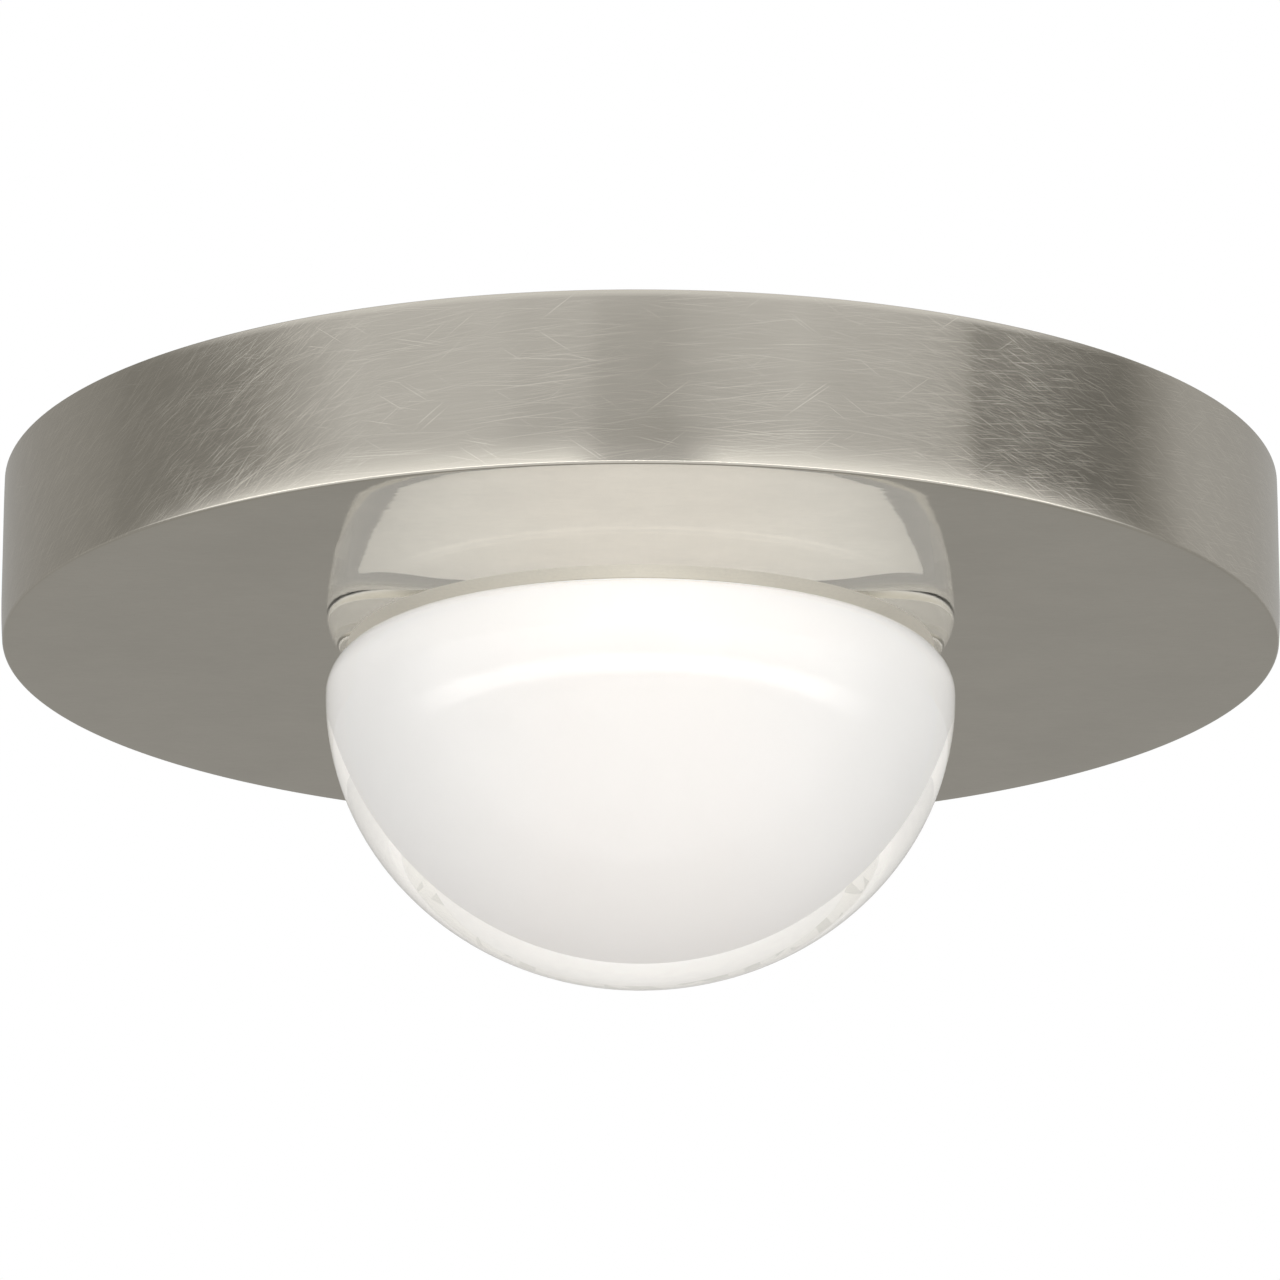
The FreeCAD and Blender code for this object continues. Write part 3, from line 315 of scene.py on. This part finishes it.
def brushed_rim():
    """Burnished wall: satin that blurs up and down only, hair scratches by hand, and their painted
    glint.
    """
    finish = Finish("nickel_rim", NICKEL, roughness=0.12, metallic=1.0)
    bearing, height = finish.bearing_and_height(finish.place())
    along = finish.math("MULTIPLY", bearing, CANOPY_RADIUS * MM)
    wall = finish.add("CombineXYZ", {0: along, 1: height})
    brushing = finish.noise(finish.stretched(wall, (60, 6500, 1)), scale=1.0, detail=3.0)
    blotches = finish.noise(finish.stretched(wall, (22, 60, 1)), scale=1.0, detail=4.0,
                            roughness=0.6)
    marks = hand_marks(finish, along, wall)
    metal = finish.shades(blotches, [(0.3, tint(NICKEL, 0.96)), (0.7, NICKEL)])
    # painted glint on the scratches, plus a slight grain from the brushing, both lightening the
    # base colour
    bright = finish.math("MULTIPLY_ADD", marks, SCRATCH_GLINT_STRENGTH,
                         finish.spread(brushing, 0.0, 0.12))
    finish.link(finish.mixed(bright, metal, opaque(tint(NICKEL, SCRATCH_GLINT_TINT))), "Base Color")
    rough = finish.spread(blotches, 0.09, 0.115)
    finish.link(finish.math("MULTIPLY_ADD", marks, SCRATCH_ROUGHNESS, rough), "Roughness")
    finish.set("Anisotropic", 0.9)
    finish.set("Anisotropic Rotation", 0.25)
    tangent = finish.node("Tangent", direction_type="RADIAL", axis="Z")
    finish.link(tangent.outputs[0], "Tangent")
    relief = finish.math("ADD", finish.math("MULTIPLY", brushing, 0.25), marks)
    finish.bump(relief, strength=0.1, depth=0.010)
    return finish.material


def burnished_face():
    """Flat underside: nearly a mirror at a low angle, slightly wavy, with soft mottling."""
    finish = Finish("nickel_face", NICKEL_FACE, roughness=0.05, metallic=1.0)
    place = finish.place()
    cloud = finish.noise(place, scale=55.0, detail=5.0, roughness=0.62)
    grain = finish.noise(finish.stretched(place, (500, 2200, 500)), scale=1.0)
    shade = finish.math("ADD", finish.math("MULTIPLY", cloud, 0.7),
                        finish.math("MULTIPLY", grain, 0.3))
    finish.link(finish.shades(shade, [(0.36, tint(NICKEL_FACE, 0.96)),
                                      (0.64, tint(NICKEL_FACE, 1.03))]), "Base Color")
    finish.link(finish.spread(cloud, 0.035, 0.065), "Roughness")
    ripples = finish.noise(finish.stretched(place, (330, 520, 330)), scale=1.0)
    waves = finish.noise(place, scale=85.0, detail=1.0)
    relief = finish.math("MULTIPLY_ADD", ripples, 0.5, finish.math("MULTIPLY", waves, 3.0))
    finish.bump(relief, strength=0.5, depth=0.024)
    return finish.material


def nickel_inside():
    """Unpolished inner side, with drawing marks from spinning."""
    finish = Finish("nickel_inside", tint(NICKEL, 0.92), roughness=0.34, metallic=1.0)
    place = finish.place()
    across, depth, height = finish.split(place)
    radius = finish.math("SQRT", finish.math("ADD", finish.math("MULTIPLY", across, across),
                                             finish.math("MULTIPLY", depth, depth)))
    section = finish.add("CombineXYZ", {0: radius, 1: height})
    rings = finish.noise(finish.stretched(section, (1100, 1100, 1)), scale=1.0, detail=3.0)
    cloud = finish.noise(place, scale=40.0, detail=4.0)
    finish.link(finish.shades(cloud, [(0.3, tint(NICKEL, 0.82)), (0.7, NICKEL)]), "Base Color")
    finish.link(finish.spread(cloud, 0.28, 0.42), "Roughness")
    finish.bump(rings, strength=0.12, depth=0.05)
    return finish.material


# ---- glass -------------------------------------------------------------------------------

# light of the frosted hollow, from its mouth (0) to its tip (1)
GLOW = (1.0, 0.96, 0.925)
GLOW_BY_DEPTH = [(0.0, 0.53), (0.6, 0.52), (1.0, 0.50)]
# cooler light at its sides and near its mouth, with where each starts and is complete, in metres
GLOW_ASIDE = (1.0, 0.995, 0.98)
GLOW_ASIDE_LEVEL = 0.525
GLOW_SIDES = (0.010, 0.030)
GLOW_MOUTH = (-0.036, -0.028)
# light that leaks from the ground glass, in the middle and at its sides
GROUND_COLOUR = (1.0, 0.97, 0.92)
GROUND_GLOW = 0.85
GROUND_GLOW_ASIDE = 0.52
GROUND_ASIDE_END = 0.038


def clear_glass():
    """Polished thick glass."""
    finish = Finish("clear_glass", (0.985, 0.99, 0.995), roughness=0.0)
    finish.set("IOR", 1.5)
    finish.set("Transmission Weight", 1.0)
    return finish.material


def frosted_hollow():
    """Sandblasted wall of the hollow, lit from inside: brighter near the light board."""
    finish = Finish("frosted_hollow", (0.62, 0.60, 0.578), roughness=0.85)
    place = finish.place()
    across, _, height = finish.split(place)
    depth = finish.spread(height, 0.0, 1.0, SEAT_LEVEL * MM, HOLLOW_TIP * MM)
    glow = finish.shades(depth, [(part, tint(GLOW, level)) for part, level in GLOW_BY_DEPTH])
    aside = finish.spread(finish.math("ABSOLUTE", across), 0.0, 1.0, *GLOW_SIDES)
    aside = finish.math("MAXIMUM", aside, finish.spread(height, 0.0, 1.0, *GLOW_MOUTH))
    glow = finish.mixed(aside, glow, opaque(tint(GLOW_ASIDE, GLOW_ASIDE_LEVEL)))
    grain = finish.noise(place, scale=2600.0, roughness=0.7)
    finish.link(glow, "Emission Color")
    finish.link(finish.spread(grain, 0.96, 1.04), "Emission Strength")
    finish.bump(grain, strength=0.3, depth=0.05)
    return finish.material


def ground_glass():
    """Ground faces of the neck, the seat and the start of the bead, which leak some light."""
    finish = Finish("ground_glass", (0.30, 0.30, 0.30), roughness=0.7)
    place = finish.place()
    grain = finish.noise(place, scale=1800.0, detail=3.0)
    finish.link(finish.shades(grain, [(0.3, (0.28, 0.28, 0.28)), (0.7, (0.33, 0.33, 0.32))]),
                "Base Color")
    finish.set("Emission Color", opaque(GROUND_COLOUR))
    aside = finish.math("ABSOLUTE", finish.split(place)[0])
    finish.link(finish.spread(aside, GROUND_GLOW, GROUND_GLOW_ASIDE, 0.0, GROUND_ASIDE_END),
                "Emission Strength")
    return finish.material


# ---- finishes of the carried-over solids ---------------------------------------------------

def plated(name, colour, roughness, scale):
    """Plated or turned metal: soft clouds and fine drawing lines."""
    finish = Finish(name, colour, roughness, metallic=1.0)
    place = finish.place()
    cloud = finish.noise(place, scale, detail=4.0, roughness=0.6)
    lines = finish.noise(finish.stretched(place, (60, 2200, 400)), scale=1.0)
    finish.link(finish.shades(cloud, [(0.3, tint(colour, 0.82)), (0.5, colour),
                                      (0.7, tint(colour, 1.12))]), "Base Color")
    finish.link(finish.spread(cloud, roughness * 0.75, roughness * 1.3), "Roughness")
    finish.bump(lines, strength=0.15, depth=0.04)
    return finish.material


def cast(name, colour, roughness):
    """Sand-fine cast metal skin."""
    finish = Finish(name, colour, roughness, metallic=1.0)
    place = finish.place()
    skin = finish.noise(place, scale=1500.0, detail=4.0, roughness=0.65)
    cloud = finish.noise(place, scale=60.0, detail=3.0)
    finish.link(finish.shades(cloud, [(0.3, tint(colour, 0.86)), (0.7, tint(colour, 1.06))]),
                "Base Color")
    finish.link(finish.spread(skin, roughness * 0.85, roughness * 1.2), "Roughness")
    finish.bump(skin, strength=0.35, depth=0.12)
    return finish.material


def moulded(name, colour, roughness, texture=1800.0, depth=0.06, coat=0.0):
    """Moulded plastic or rubber with a fine eroded skin, its depth in millimetres."""
    finish = Finish(name, colour, roughness)
    place = finish.place()
    skin = finish.noise(place, texture, detail=3.0, roughness=0.6)
    cloud = finish.noise(place, scale=45.0)
    finish.link(finish.shades(cloud, [(0.3, tint(colour, 0.93)), (0.7, tint(colour, 1.04))]),
                "Base Color")
    finish.link(finish.spread(skin, roughness * 0.88, min(roughness * 1.15, 1.0)), "Roughness")
    finish.set("Coat Weight", coat)
    finish.bump(skin, strength=0.4, depth=depth)
    return finish.material


def insulation(name, colour):
    """Smooth skin of a lead."""
    return moulded(name, colour, 0.38, texture=900.0, depth=0.03, coat=0.2)


def board_face(name, colour, trace):
    """A circuit board under solder mask, with slightly raised tracks."""
    finish = Finish(name, colour, roughness=0.35)
    distance = finish.add("TexVoronoi", {
        "Vector": finish.place(), "Scale": 260.0, "Randomness": 0.6},
        output="Distance", feature="F1", distance="CHEBYCHEV")
    tracks = finish.spread(distance, 1.0, 0.0, 0.42, 0.46)
    finish.link(finish.mixed(tracks, opaque(colour), opaque(trace)), "Base Color")
    finish.set("Coat Weight", 0.4)
    finish.set("Coat Roughness", 0.12)
    finish.bump(tracks, strength=0.4, depth=0.05)
    return finish.material


def glowing_chip():
    """A phosphor face that gives the warm white light."""
    finish = Finish("phosphor", (0.95, 0.80, 0.35), roughness=0.5)
    grain = finish.noise(finish.place(), scale=3000.0)
    finish.link(finish.shades(grain, [(0.3, (0.90, 0.72, 0.28)), (0.7, (0.98, 0.86, 0.42))]),
                "Base Color")
    finish.set("Emission Color", (1.0, 0.86, 0.66, 1.0))
    finish.set("Emission Strength", 3.0)
    return finish.material


def wound_tape():
    """Tape over the winding, with the edge of each turn showing."""
    colour = (0.80, 0.55, 0.07)
    finish = Finish("winding_tape", colour, roughness=0.3)
    turns = finish.noise(finish.stretched(finish.place(), (30, 2400, 30)), scale=1.0, detail=1.0)
    finish.link(finish.shades(turns, [(0.35, tint(colour, 0.72)), (0.6, colour)]), "Base Color")
    finish.set("Coat Weight", 0.5)
    finish.bump(turns, strength=0.4, depth=0.1)
    return finish.material


FINISHES = {
    "zinc_steel": plated("zinc_steel", (0.62, 0.63, 0.65), 0.30, scale=120.0),
    "cast_aluminium": cast("cast_aluminium", (0.70, 0.71, 0.72), 0.42),
    "silicone": moulded("silicone", (0.80, 0.80, 0.78), 0.55, texture=900.0),
    "thermal_gel": moulded("thermal_gel", (0.50, 0.56, 0.63), 0.75, texture=700.0, depth=0.1),
    "board_white": board_face("board_white", (0.88, 0.88, 0.86), (0.80, 0.80, 0.79)),
    "phosphor": glowing_chip(),
    "white_nylon": moulded("white_nylon", (0.84, 0.84, 0.80), 0.45),
    "case_white": moulded("case_white", (0.86, 0.86, 0.84), 0.5, texture=1400.0, depth=0.1),
    "board_green": board_face("board_green", (0.025, 0.20, 0.085), (0.05, 0.30, 0.13)),
    "ferrite": moulded("ferrite", (0.07, 0.07, 0.075), 0.4, texture=1100.0, depth=0.08),
    "winding_tape": wound_tape(),
    "can_sleeve": moulded("can_sleeve", (0.045, 0.055, 0.085), 0.25, texture=500.0, depth=0.02,
                          coat=0.5),
    "film_case": moulded("film_case", (0.70, 0.48, 0.06), 0.4),
    "brass": plated("brass", (0.76, 0.57, 0.25), 0.28, scale=160.0),
    "tinned_copper": plated("tinned_copper", (0.75, 0.73, 0.70), 0.25, scale=160.0),
    "green_screw": plated("green_screw", (0.05, 0.36, 0.14), 0.32, scale=200.0),
    "wire_black": insulation("wire_black", (0.025, 0.025, 0.025)),
    "wire_white": insulation("wire_white", (0.84, 0.84, 0.82)),
    "wire_green": insulation("wire_green", (0.03, 0.30, 0.08)),
    "wire_red": insulation("wire_red", (0.52, 0.03, 0.02)),
}


def dress_solids():
    """Gives each carried-over solid the finish of its slot."""
    for part in frame["record"]["subparts"]:
        finish = FINISHES.get(part["material_slot"])
        if finish is None:
            continue
        piece = frame["nodes"][part["node"]]
        for place in piece.material_slots:
            place.material = finish


# ---- canopy --------------------------------------------------------------------------------

def canopy_underside():
    """Points from the dome hole outwards. The ring beside the hole keeps the mirror flat."""
    points = arc((DOME_HOLE_RADIUS + EDGE_ROUND, -CANOPY_DEPTH + EDGE_ROUND),
                 EDGE_ROUND, 180, 270, EDGE_STEPS)
    points.append((DOME_HOLE_RADIUS + FACE_FLAT_START, -CANOPY_DEPTH))
    for i in range(RIM_STEPS):
        part = i / RIM_STEPS
        points.append((FACE_END - FACE_ROLL_WIDTH * (1 - part),
                       -CANOPY_DEPTH + FACE_ROLL_RISE * part ** 2))
    return points


def canopy_wall():
    """Points from the rim's corner up to the ceiling. The wall rolls in towards both edges."""
    points = []
    for i in range(1, RIM_STEPS + 1):
        part = i / RIM_STEPS
        points.append((CANOPY_RADIUS - RIM_ROLL_DEPTH * (1 - part) ** 2,
                       WALL_FOOT + RIM_ROLL_HEIGHT * part))
    for i in range(1, TOP_ROLL_STEPS + 1):
        part = i / TOP_ROLL_STEPS
        points.append((CANOPY_RADIUS - TOP_ROLL_DEPTH * part ** 2,
                       -TOP_CORNER - TOP_ROLL_HEIGHT * (1 - part)))
    corner = arc((CANOPY_RADIUS - TOP_ROLL_DEPTH - TOP_CORNER, -TOP_CORNER),
                 TOP_CORNER, 0, 90, TOP_CORNER_STEPS)
    return points + corner[1:]


def canopy_inside():
    """Points from the top edge down the bore and back to the dome hole."""
    top = arc((CANOPY_BORE + EDGE_ROUND, -EDGE_ROUND), EDGE_ROUND, 90, 180, EDGE_STEPS)
    bottom = arc((CANOPY_BORE - FLOOR_ROUND, FACE_INNER + FLOOR_ROUND),
                 FLOOR_ROUND, 0, -90, FLOOR_ROUND_STEPS)
    hole = arc((DOME_HOLE_RADIUS + EDGE_ROUND, FACE_INNER - EDGE_ROUND),
               EDGE_ROUND, 90, 180, EDGE_STEPS)
    return top + bottom + hole


def build_canopy():
    """A spun pan: burnished underside, brushed wall and unpolished inside."""
    under = canopy_underside()
    corner = arc((FACE_END, WALL_FOOT), RIM_CORNER, -90, 0, RIM_STEPS)
    wall = canopy_wall()
    inside = canopy_inside()
    outline = under + corner + wall + inside
    half_corner = len(corner) // 2
    slots = [0] * (len(under) + half_corner)
    slots += [1] * (len(corner) - half_corner + len(wall))
    slots += [2] * len(inside)
    sections = [(FULL_TURN * i / SEGMENTS, outline) for i in range(SEGMENTS)]
    canopy = turned("canopy_spun", sections, slots,
                    [burnished_face(), brushed_rim(), nickel_inside()])
    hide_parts("canopy")
    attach(canopy, "fixture")


# ---- glass dome ----------------------------------------------------------------------------

def dome_hollow():
    """Points of the hollow, from its tip to the level of the seat."""
    return ellipse(SEAT_LEVEL, HOLLOW_RADIUS, SEAT_LEVEL - HOLLOW_TIP, -90, 0, HOLLOW_STEPS)


def dome_neck(top_radius):
    """Points of the neck and of the seat with its gasket groove."""
    return [
        (HOLLOW_RADIUS, NECK_TOP), (top_radius, NECK_TOP), (top_radius, LUG_UNDER),
        (NECK_RADIUS, LUG_UNDER), (NECK_RADIUS, SEAT_LEVEL),
        (GROOVE_INNER, SEAT_LEVEL), (GROOVE_INNER, GROOVE_FLOOR),
        (GROOVE_OUTER, GROOVE_FLOOR), (GROOVE_OUTER, SEAT_LEVEL),
    ]


def dome_outside():
    """Points of the bead beside the seat and of the dome below it, down to its tip."""
    widest = SEAT_LEVEL - DOME_EDGE
    bead = arc((DOME_RADIUS - DOME_EDGE, widest), DOME_EDGE, 90, 0, BEAD_STEPS)
    lower = ellipse(widest, DOME_RADIUS, widest - DOME_TIP, 0, -90, LOWER_STEPS)
    return bead + lower[1:]


def lugged_sections(plain, lugged):
    """Sections all round the dome, with both outlines at the two edges of each lug."""
    pitch = FULL_TURN / LUG_COUNT
    sections = []
    for i in range(SEGMENTS):
        angle = FULL_TURN * i / SEGMENTS
        offset = (angle + pitch / 2) % pitch - pitch / 2
        if abs(abs(offset) - LUG_SPAN / 2) > SAME_ANGLE:
            inside = abs(offset) < LUG_SPAN / 2
            sections.append((angle, lugged if inside else plain))
        elif offset < 0:
            sections += [(angle, plain), (angle, lugged)]
        else:
            sections += [(angle, lugged), (angle, plain)]
    return sections


def build_dome():
    """Thick glass, with a sandblasted hollow and three lugs round its neck."""
    hollow = dome_hollow()
    neck = dome_neck(NECK_RADIUS)
    outside = dome_outside()
    plain = hollow + neck + outside
    lugged = hollow + dome_neck(LUG_RADIUS) + outside
    slots = [1] * len(hollow)
    slots += [2] * (len(neck) + GROUND_BEAD_STEPS)
    slots += [0] * (len(outside) - GROUND_BEAD_STEPS)
    dome = turned("dome_glass", lugged_sections(plain, lugged), slots,
                  [clear_glass(), frosted_hollow(), ground_glass()])
    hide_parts("glass_dome")
    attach(dome, "dome")


# ---- camera, lamps and floor ---------------------------------------------------------------

# the photograph's camera: pixels are those of its 1280 x 1280 frame
VIEW_ELEVATION = math.radians(16.27)
VIEW_DISTANCE = 12.291 * CANOPY_RADIUS * MM
VIEW_ROLL = math.radians(0.098)
FOCAL_PIXELS = 7845.0
SENSOR_WIDTH = 36.0
FACE_CENTRE_X = 640.6
FACE_CENTRE_Y = 657.2

AIM = Vector((0, 0, -CANOPY_DEPTH * MM))

# name, place in metres, diameter in metres, power in watts
LAMPS = [
    ("light_front", (-1.0, -1.6, -0.9), 1.2, 18.0),
    ("light_side", (1.6, -0.4, -0.5), 1.0, 10.0),
    ("light_top", (0.4, 0.5, 1.6), 1.2, 22.0),
]

FLOOR_LEVEL = -2.3
FLOOR_SIZE = 7.0
FLOOR_WHITE = 0.45


def add_camera():
    """Below the light, looking up at the middle of its underside."""
    data = bpy.data.cameras.new("camera")
    data.sensor_width = SENSOR_WIDTH
    data.lens = FOCAL_PIXELS / PHOTO_PIXELS * SENSOR_WIDTH
    data.shift_x = (PHOTO_PIXELS / 2 - FACE_CENTRE_X) / PHOTO_PIXELS
    data.shift_y = (FACE_CENTRE_Y - PHOTO_PIXELS / 2) / PHOTO_PIXELS
    camera = bpy.data.objects.new("camera", data)
    bpy.context.scene.collection.objects.link(camera)
    away = Vector((0, -math.cos(VIEW_ELEVATION), -math.sin(VIEW_ELEVATION)))
    camera.location = AIM + away * VIEW_DISTANCE
    roll = Quaternion((0, 0, 1), VIEW_ROLL)
    camera.rotation_euler = ((-away).to_track_quat("-Z", "Y") @ roll).to_euler()
    bpy.context.scene.camera = camera


def add_softbox(name, place, size, power):
    """A large soft light that aims at the object and shows only on matte surfaces."""
    data = bpy.data.lights.new(name, "AREA")
    data.shape = "DISK"
    data.size = size
    data.energy = power
    light = bpy.data.objects.new(name, data)
    bpy.context.scene.collection.objects.link(light)
    light.location = place
    light.rotation_euler = (AIM - light.location).to_track_quat("-Z", "Y").to_euler()
    light.visible_camera = False
    light.visible_glossy = False
    light.visible_transmission = False


def add_floor():
    """A pale floor far below, which is white where the camera sees it, as the surroundings are."""
    finish = Finish("floor_pale", (0.80, 0.80, 0.79), roughness=0.9)
    cloud = finish.noise(finish.place(), scale=3.0, detail=3.0)
    finish.link(finish.shades(cloud, [(0.3, (0.79, 0.79, 0.78)), (0.7, (0.82, 0.82, 0.81))]),
                "Base Color")
    seen = finish.node("LightPath").outputs["Is Camera Ray"]
    finish.set("Emission Color", (1.0, 1.0, 1.0, 1.0))
    finish.link(finish.math("MULTIPLY", seen, FLOOR_WHITE), "Emission Strength")
    bpy.ops.mesh.primitive_plane_add(size=FLOOR_SIZE, location=(0, 0, FLOOR_LEVEL))
    floor = bpy.context.object
    floor.name = "floor"
    floor.visible_glossy = False
    floor.data.materials.append(finish.material)


# ---- surroundings --------------------------------------------------------------------------

# Heights are the upward part of a direction of length 1. Each pair of heights or bearings is
# where a change starts and where it is complete.

# brightness round the horizon at the height that the wall mirrors, by bearing from the camera
SURROUND = [
    (-180, 0.40), (-165, 0.377), (-146, 0.358), (-122, 0.331), (-110, 0.303), (-104, 0.27),
    (-92, 0.246), (-80, 0.235), (-72, 0.27), (-62, 0.44), (-52, 0.598), (-26, 0.605),
    (-20, 0.545), (-9.5, 0.53), (-7, 0.465), (4, 0.42), (9, 0.49), (16, 0.535), (28, 0.605),
    (34, 0.54), (46, 0.512), (54, 0.455), (59, 0.37), (61.5, 0.175), (76, 0.155), (88, 0.165),
    (96, 0.20), (103, 0.31), (112, 0.435), (120, 0.46), (142, 0.42), (180, 0.42),
]
FRONT_BEARINGS = (math.radians(108), math.radians(66))

# a bright band in front, just under that height, with a dimmer middle
LOW_HEIGHTS = (0.245, 0.13)
LOW_LEVEL = 1.28
LOW_MIDDLE_LEVEL = 0.60
LOW_MIDDLE_BEARING = math.radians(1)
LOW_MIDDLE_BEARINGS = (math.radians(5), math.radians(15))

# the front under the horizon, and a strip there that lights the wall's lower edge
DEEP_HEIGHTS = (0.0, -0.10)
DEEP_LEVEL = 0.8
STRIP_TOP_HEIGHTS = (-0.02, -0.07)
STRIP_FOOT_HEIGHTS = (-0.20, -0.14)
STRIP_LEVEL = 3.2

# the front high up, which the wall mirrors near the ceiling
HIGH_HEIGHTS = (0.30, 0.46)
HIGH_LEVEL = 0.88

# the back under the horizon, which the underside mirrors
BELOW_HEIGHTS = (0.0, -0.12)
BELOW_LEVEL = 0.362

# the room as metal shows it in light that has passed the glass, and the other way round
GLASS_THEN_METAL = 0.92
METAL_THEN_GLASS = 0.48

# the room as matte surfaces see it, and its tint in dark and bright parts
MATTE_LEVEL = 0.75
TINT_LEVELS = (0.15, 0.65)
TINT_DARK = (1.0, 0.967, 0.905)
TINT_BRIGHT = (1.0, 0.989, 0.978)

# brightness of the room as it falls on the frosted glass: a wide window in front
WINDOW_BEARING = math.radians(8)
WINDOW_HEIGHT = math.radians(-20)
WINDOW_CORE = math.cos(math.radians(12))
WINDOW_EDGE = math.cos(math.radians(48))
WINDOW_LEVEL = 3.8
ROOM_LEVEL = 0.12

# a count of bounces above this is one bounce or more
NO_BOUNCE = 0.5


def mirrored_level(room, direction, passed_glass):
    """Brightness that metal mirrors: the horizon, with the bands above and below it."""
    bearing, height = room.bearing_and_height(direction)
    turn = room.math("MULTIPLY_ADD", bearing, 1 / FULL_TURN, 0.5)
    level = room.shades(turn, [((angle + 180) / 360, (grey, grey, grey))
                               for angle, grey in SURROUND])
    front = room.rise(room.math("ABSOLUTE", bearing), *FRONT_BEARINGS)
    back = room.math("SUBTRACT", 1.0, front)
    direct_front = room.math("MULTIPLY", front, room.math("SUBTRACT", 1.0, passed_glass))

    low = room.math("MULTIPLY", room.rise(height, *LOW_HEIGHTS), front)
    aside = room.math("ABSOLUTE", room.math("SUBTRACT", bearing, LOW_MIDDLE_BEARING))
    aside = room.rise(aside, *LOW_MIDDLE_BEARINGS)
    level = room.blend(low, level, room.blend(aside, LOW_MIDDLE_LEVEL, LOW_LEVEL))

    deep = room.math("MULTIPLY", room.rise(height, *DEEP_HEIGHTS), direct_front)
    level = room.blend(deep, level, DEEP_LEVEL)
    strip = room.math("MULTIPLY", room.rise(height, *STRIP_TOP_HEIGHTS),
                      room.rise(height, *STRIP_FOOT_HEIGHTS))
    level = room.blend(room.math("MULTIPLY", strip, direct_front), level, STRIP_LEVEL)

    high = room.math("MULTIPLY", room.rise(height, *HIGH_HEIGHTS), front)
    level = room.blend(high, level, HIGH_LEVEL)
    below = room.math("MULTIPLY", room.rise(height, *BELOW_HEIGHTS), back)
    return room.blend(below, level, room.blend(passed_glass, BELOW_LEVEL, GLASS_THEN_METAL))


def window_level(room, direction):
    """Brightness that falls on the frosted glass, by the angle from the window's middle."""
    middle = (math.sin(WINDOW_BEARING) * math.cos(WINDOW_HEIGHT),
              -math.cos(WINDOW_BEARING) * math.cos(WINDOW_HEIGHT), math.sin(WINDOW_HEIGHT))
    towards = room.add("VectorMath", {0: direction, 1: middle}, output="Value",
                       operation="DOT_PRODUCT")
    return room.blend(room.rise(towards, WINDOW_EDGE, WINDOW_CORE), ROOM_LEVEL, WINDOW_LEVEL)


def add_surroundings():
    """White where the camera or the glass sees it, grey and white panels where metal does."""
    world = bpy.data.worlds.new("studio")
    bpy.context.scene.world = world
    world.use_nodes = True
    room = Nodes(world.node_tree)
    rays = room.node("LightPath").outputs
    passed_glass = room.math("GREATER_THAN", rays["Transmission Depth"], NO_BOUNCE)
    passed_metal = room.math("GREATER_THAN", rays["Glossy Depth"], NO_BOUNCE)
    scattered = room.math("GREATER_THAN", rays["Diffuse Depth"], NO_BOUNCE)
    seen = room.math("MAXIMUM", rays["Is Camera Ray"], rays["Is Transmission Ray"])
    direction = room.node("TexCoord").outputs["Generated"]

    level = mirrored_level(room, direction, passed_glass)
    level = room.blend(rays["Is Glossy Ray"], MATTE_LEVEL, level)
    bright = room.rise(level, *TINT_LEVELS)
    inward = window_level(room, direction)
    channels = {}
    for index, (dark_part, part) in enumerate(zip(TINT_DARK, TINT_BRIGHT)):
        clear = room.blend(passed_metal, 1.0, METAL_THEN_GLASS * part)
        through = room.blend(scattered, clear, inward)
        mirrored = room.math("MULTIPLY", level, room.blend(bright, dark_part, part))
        channels[index] = room.blend(seen, mirrored, through)
    background = room.tree.nodes["Background"].inputs
    room.tree.links.new(room.add("CombineColor", channels), background["Color"])
    background["Strength"].default_value = 1.0


add_camera()
bpy.context.scene.view_settings.view_transform = "Standard"
add_floor()
for lamp in LAMPS:
    add_softbox(*lamp)
add_surroundings()
dress_solids()
build_canopy()
build_dome()
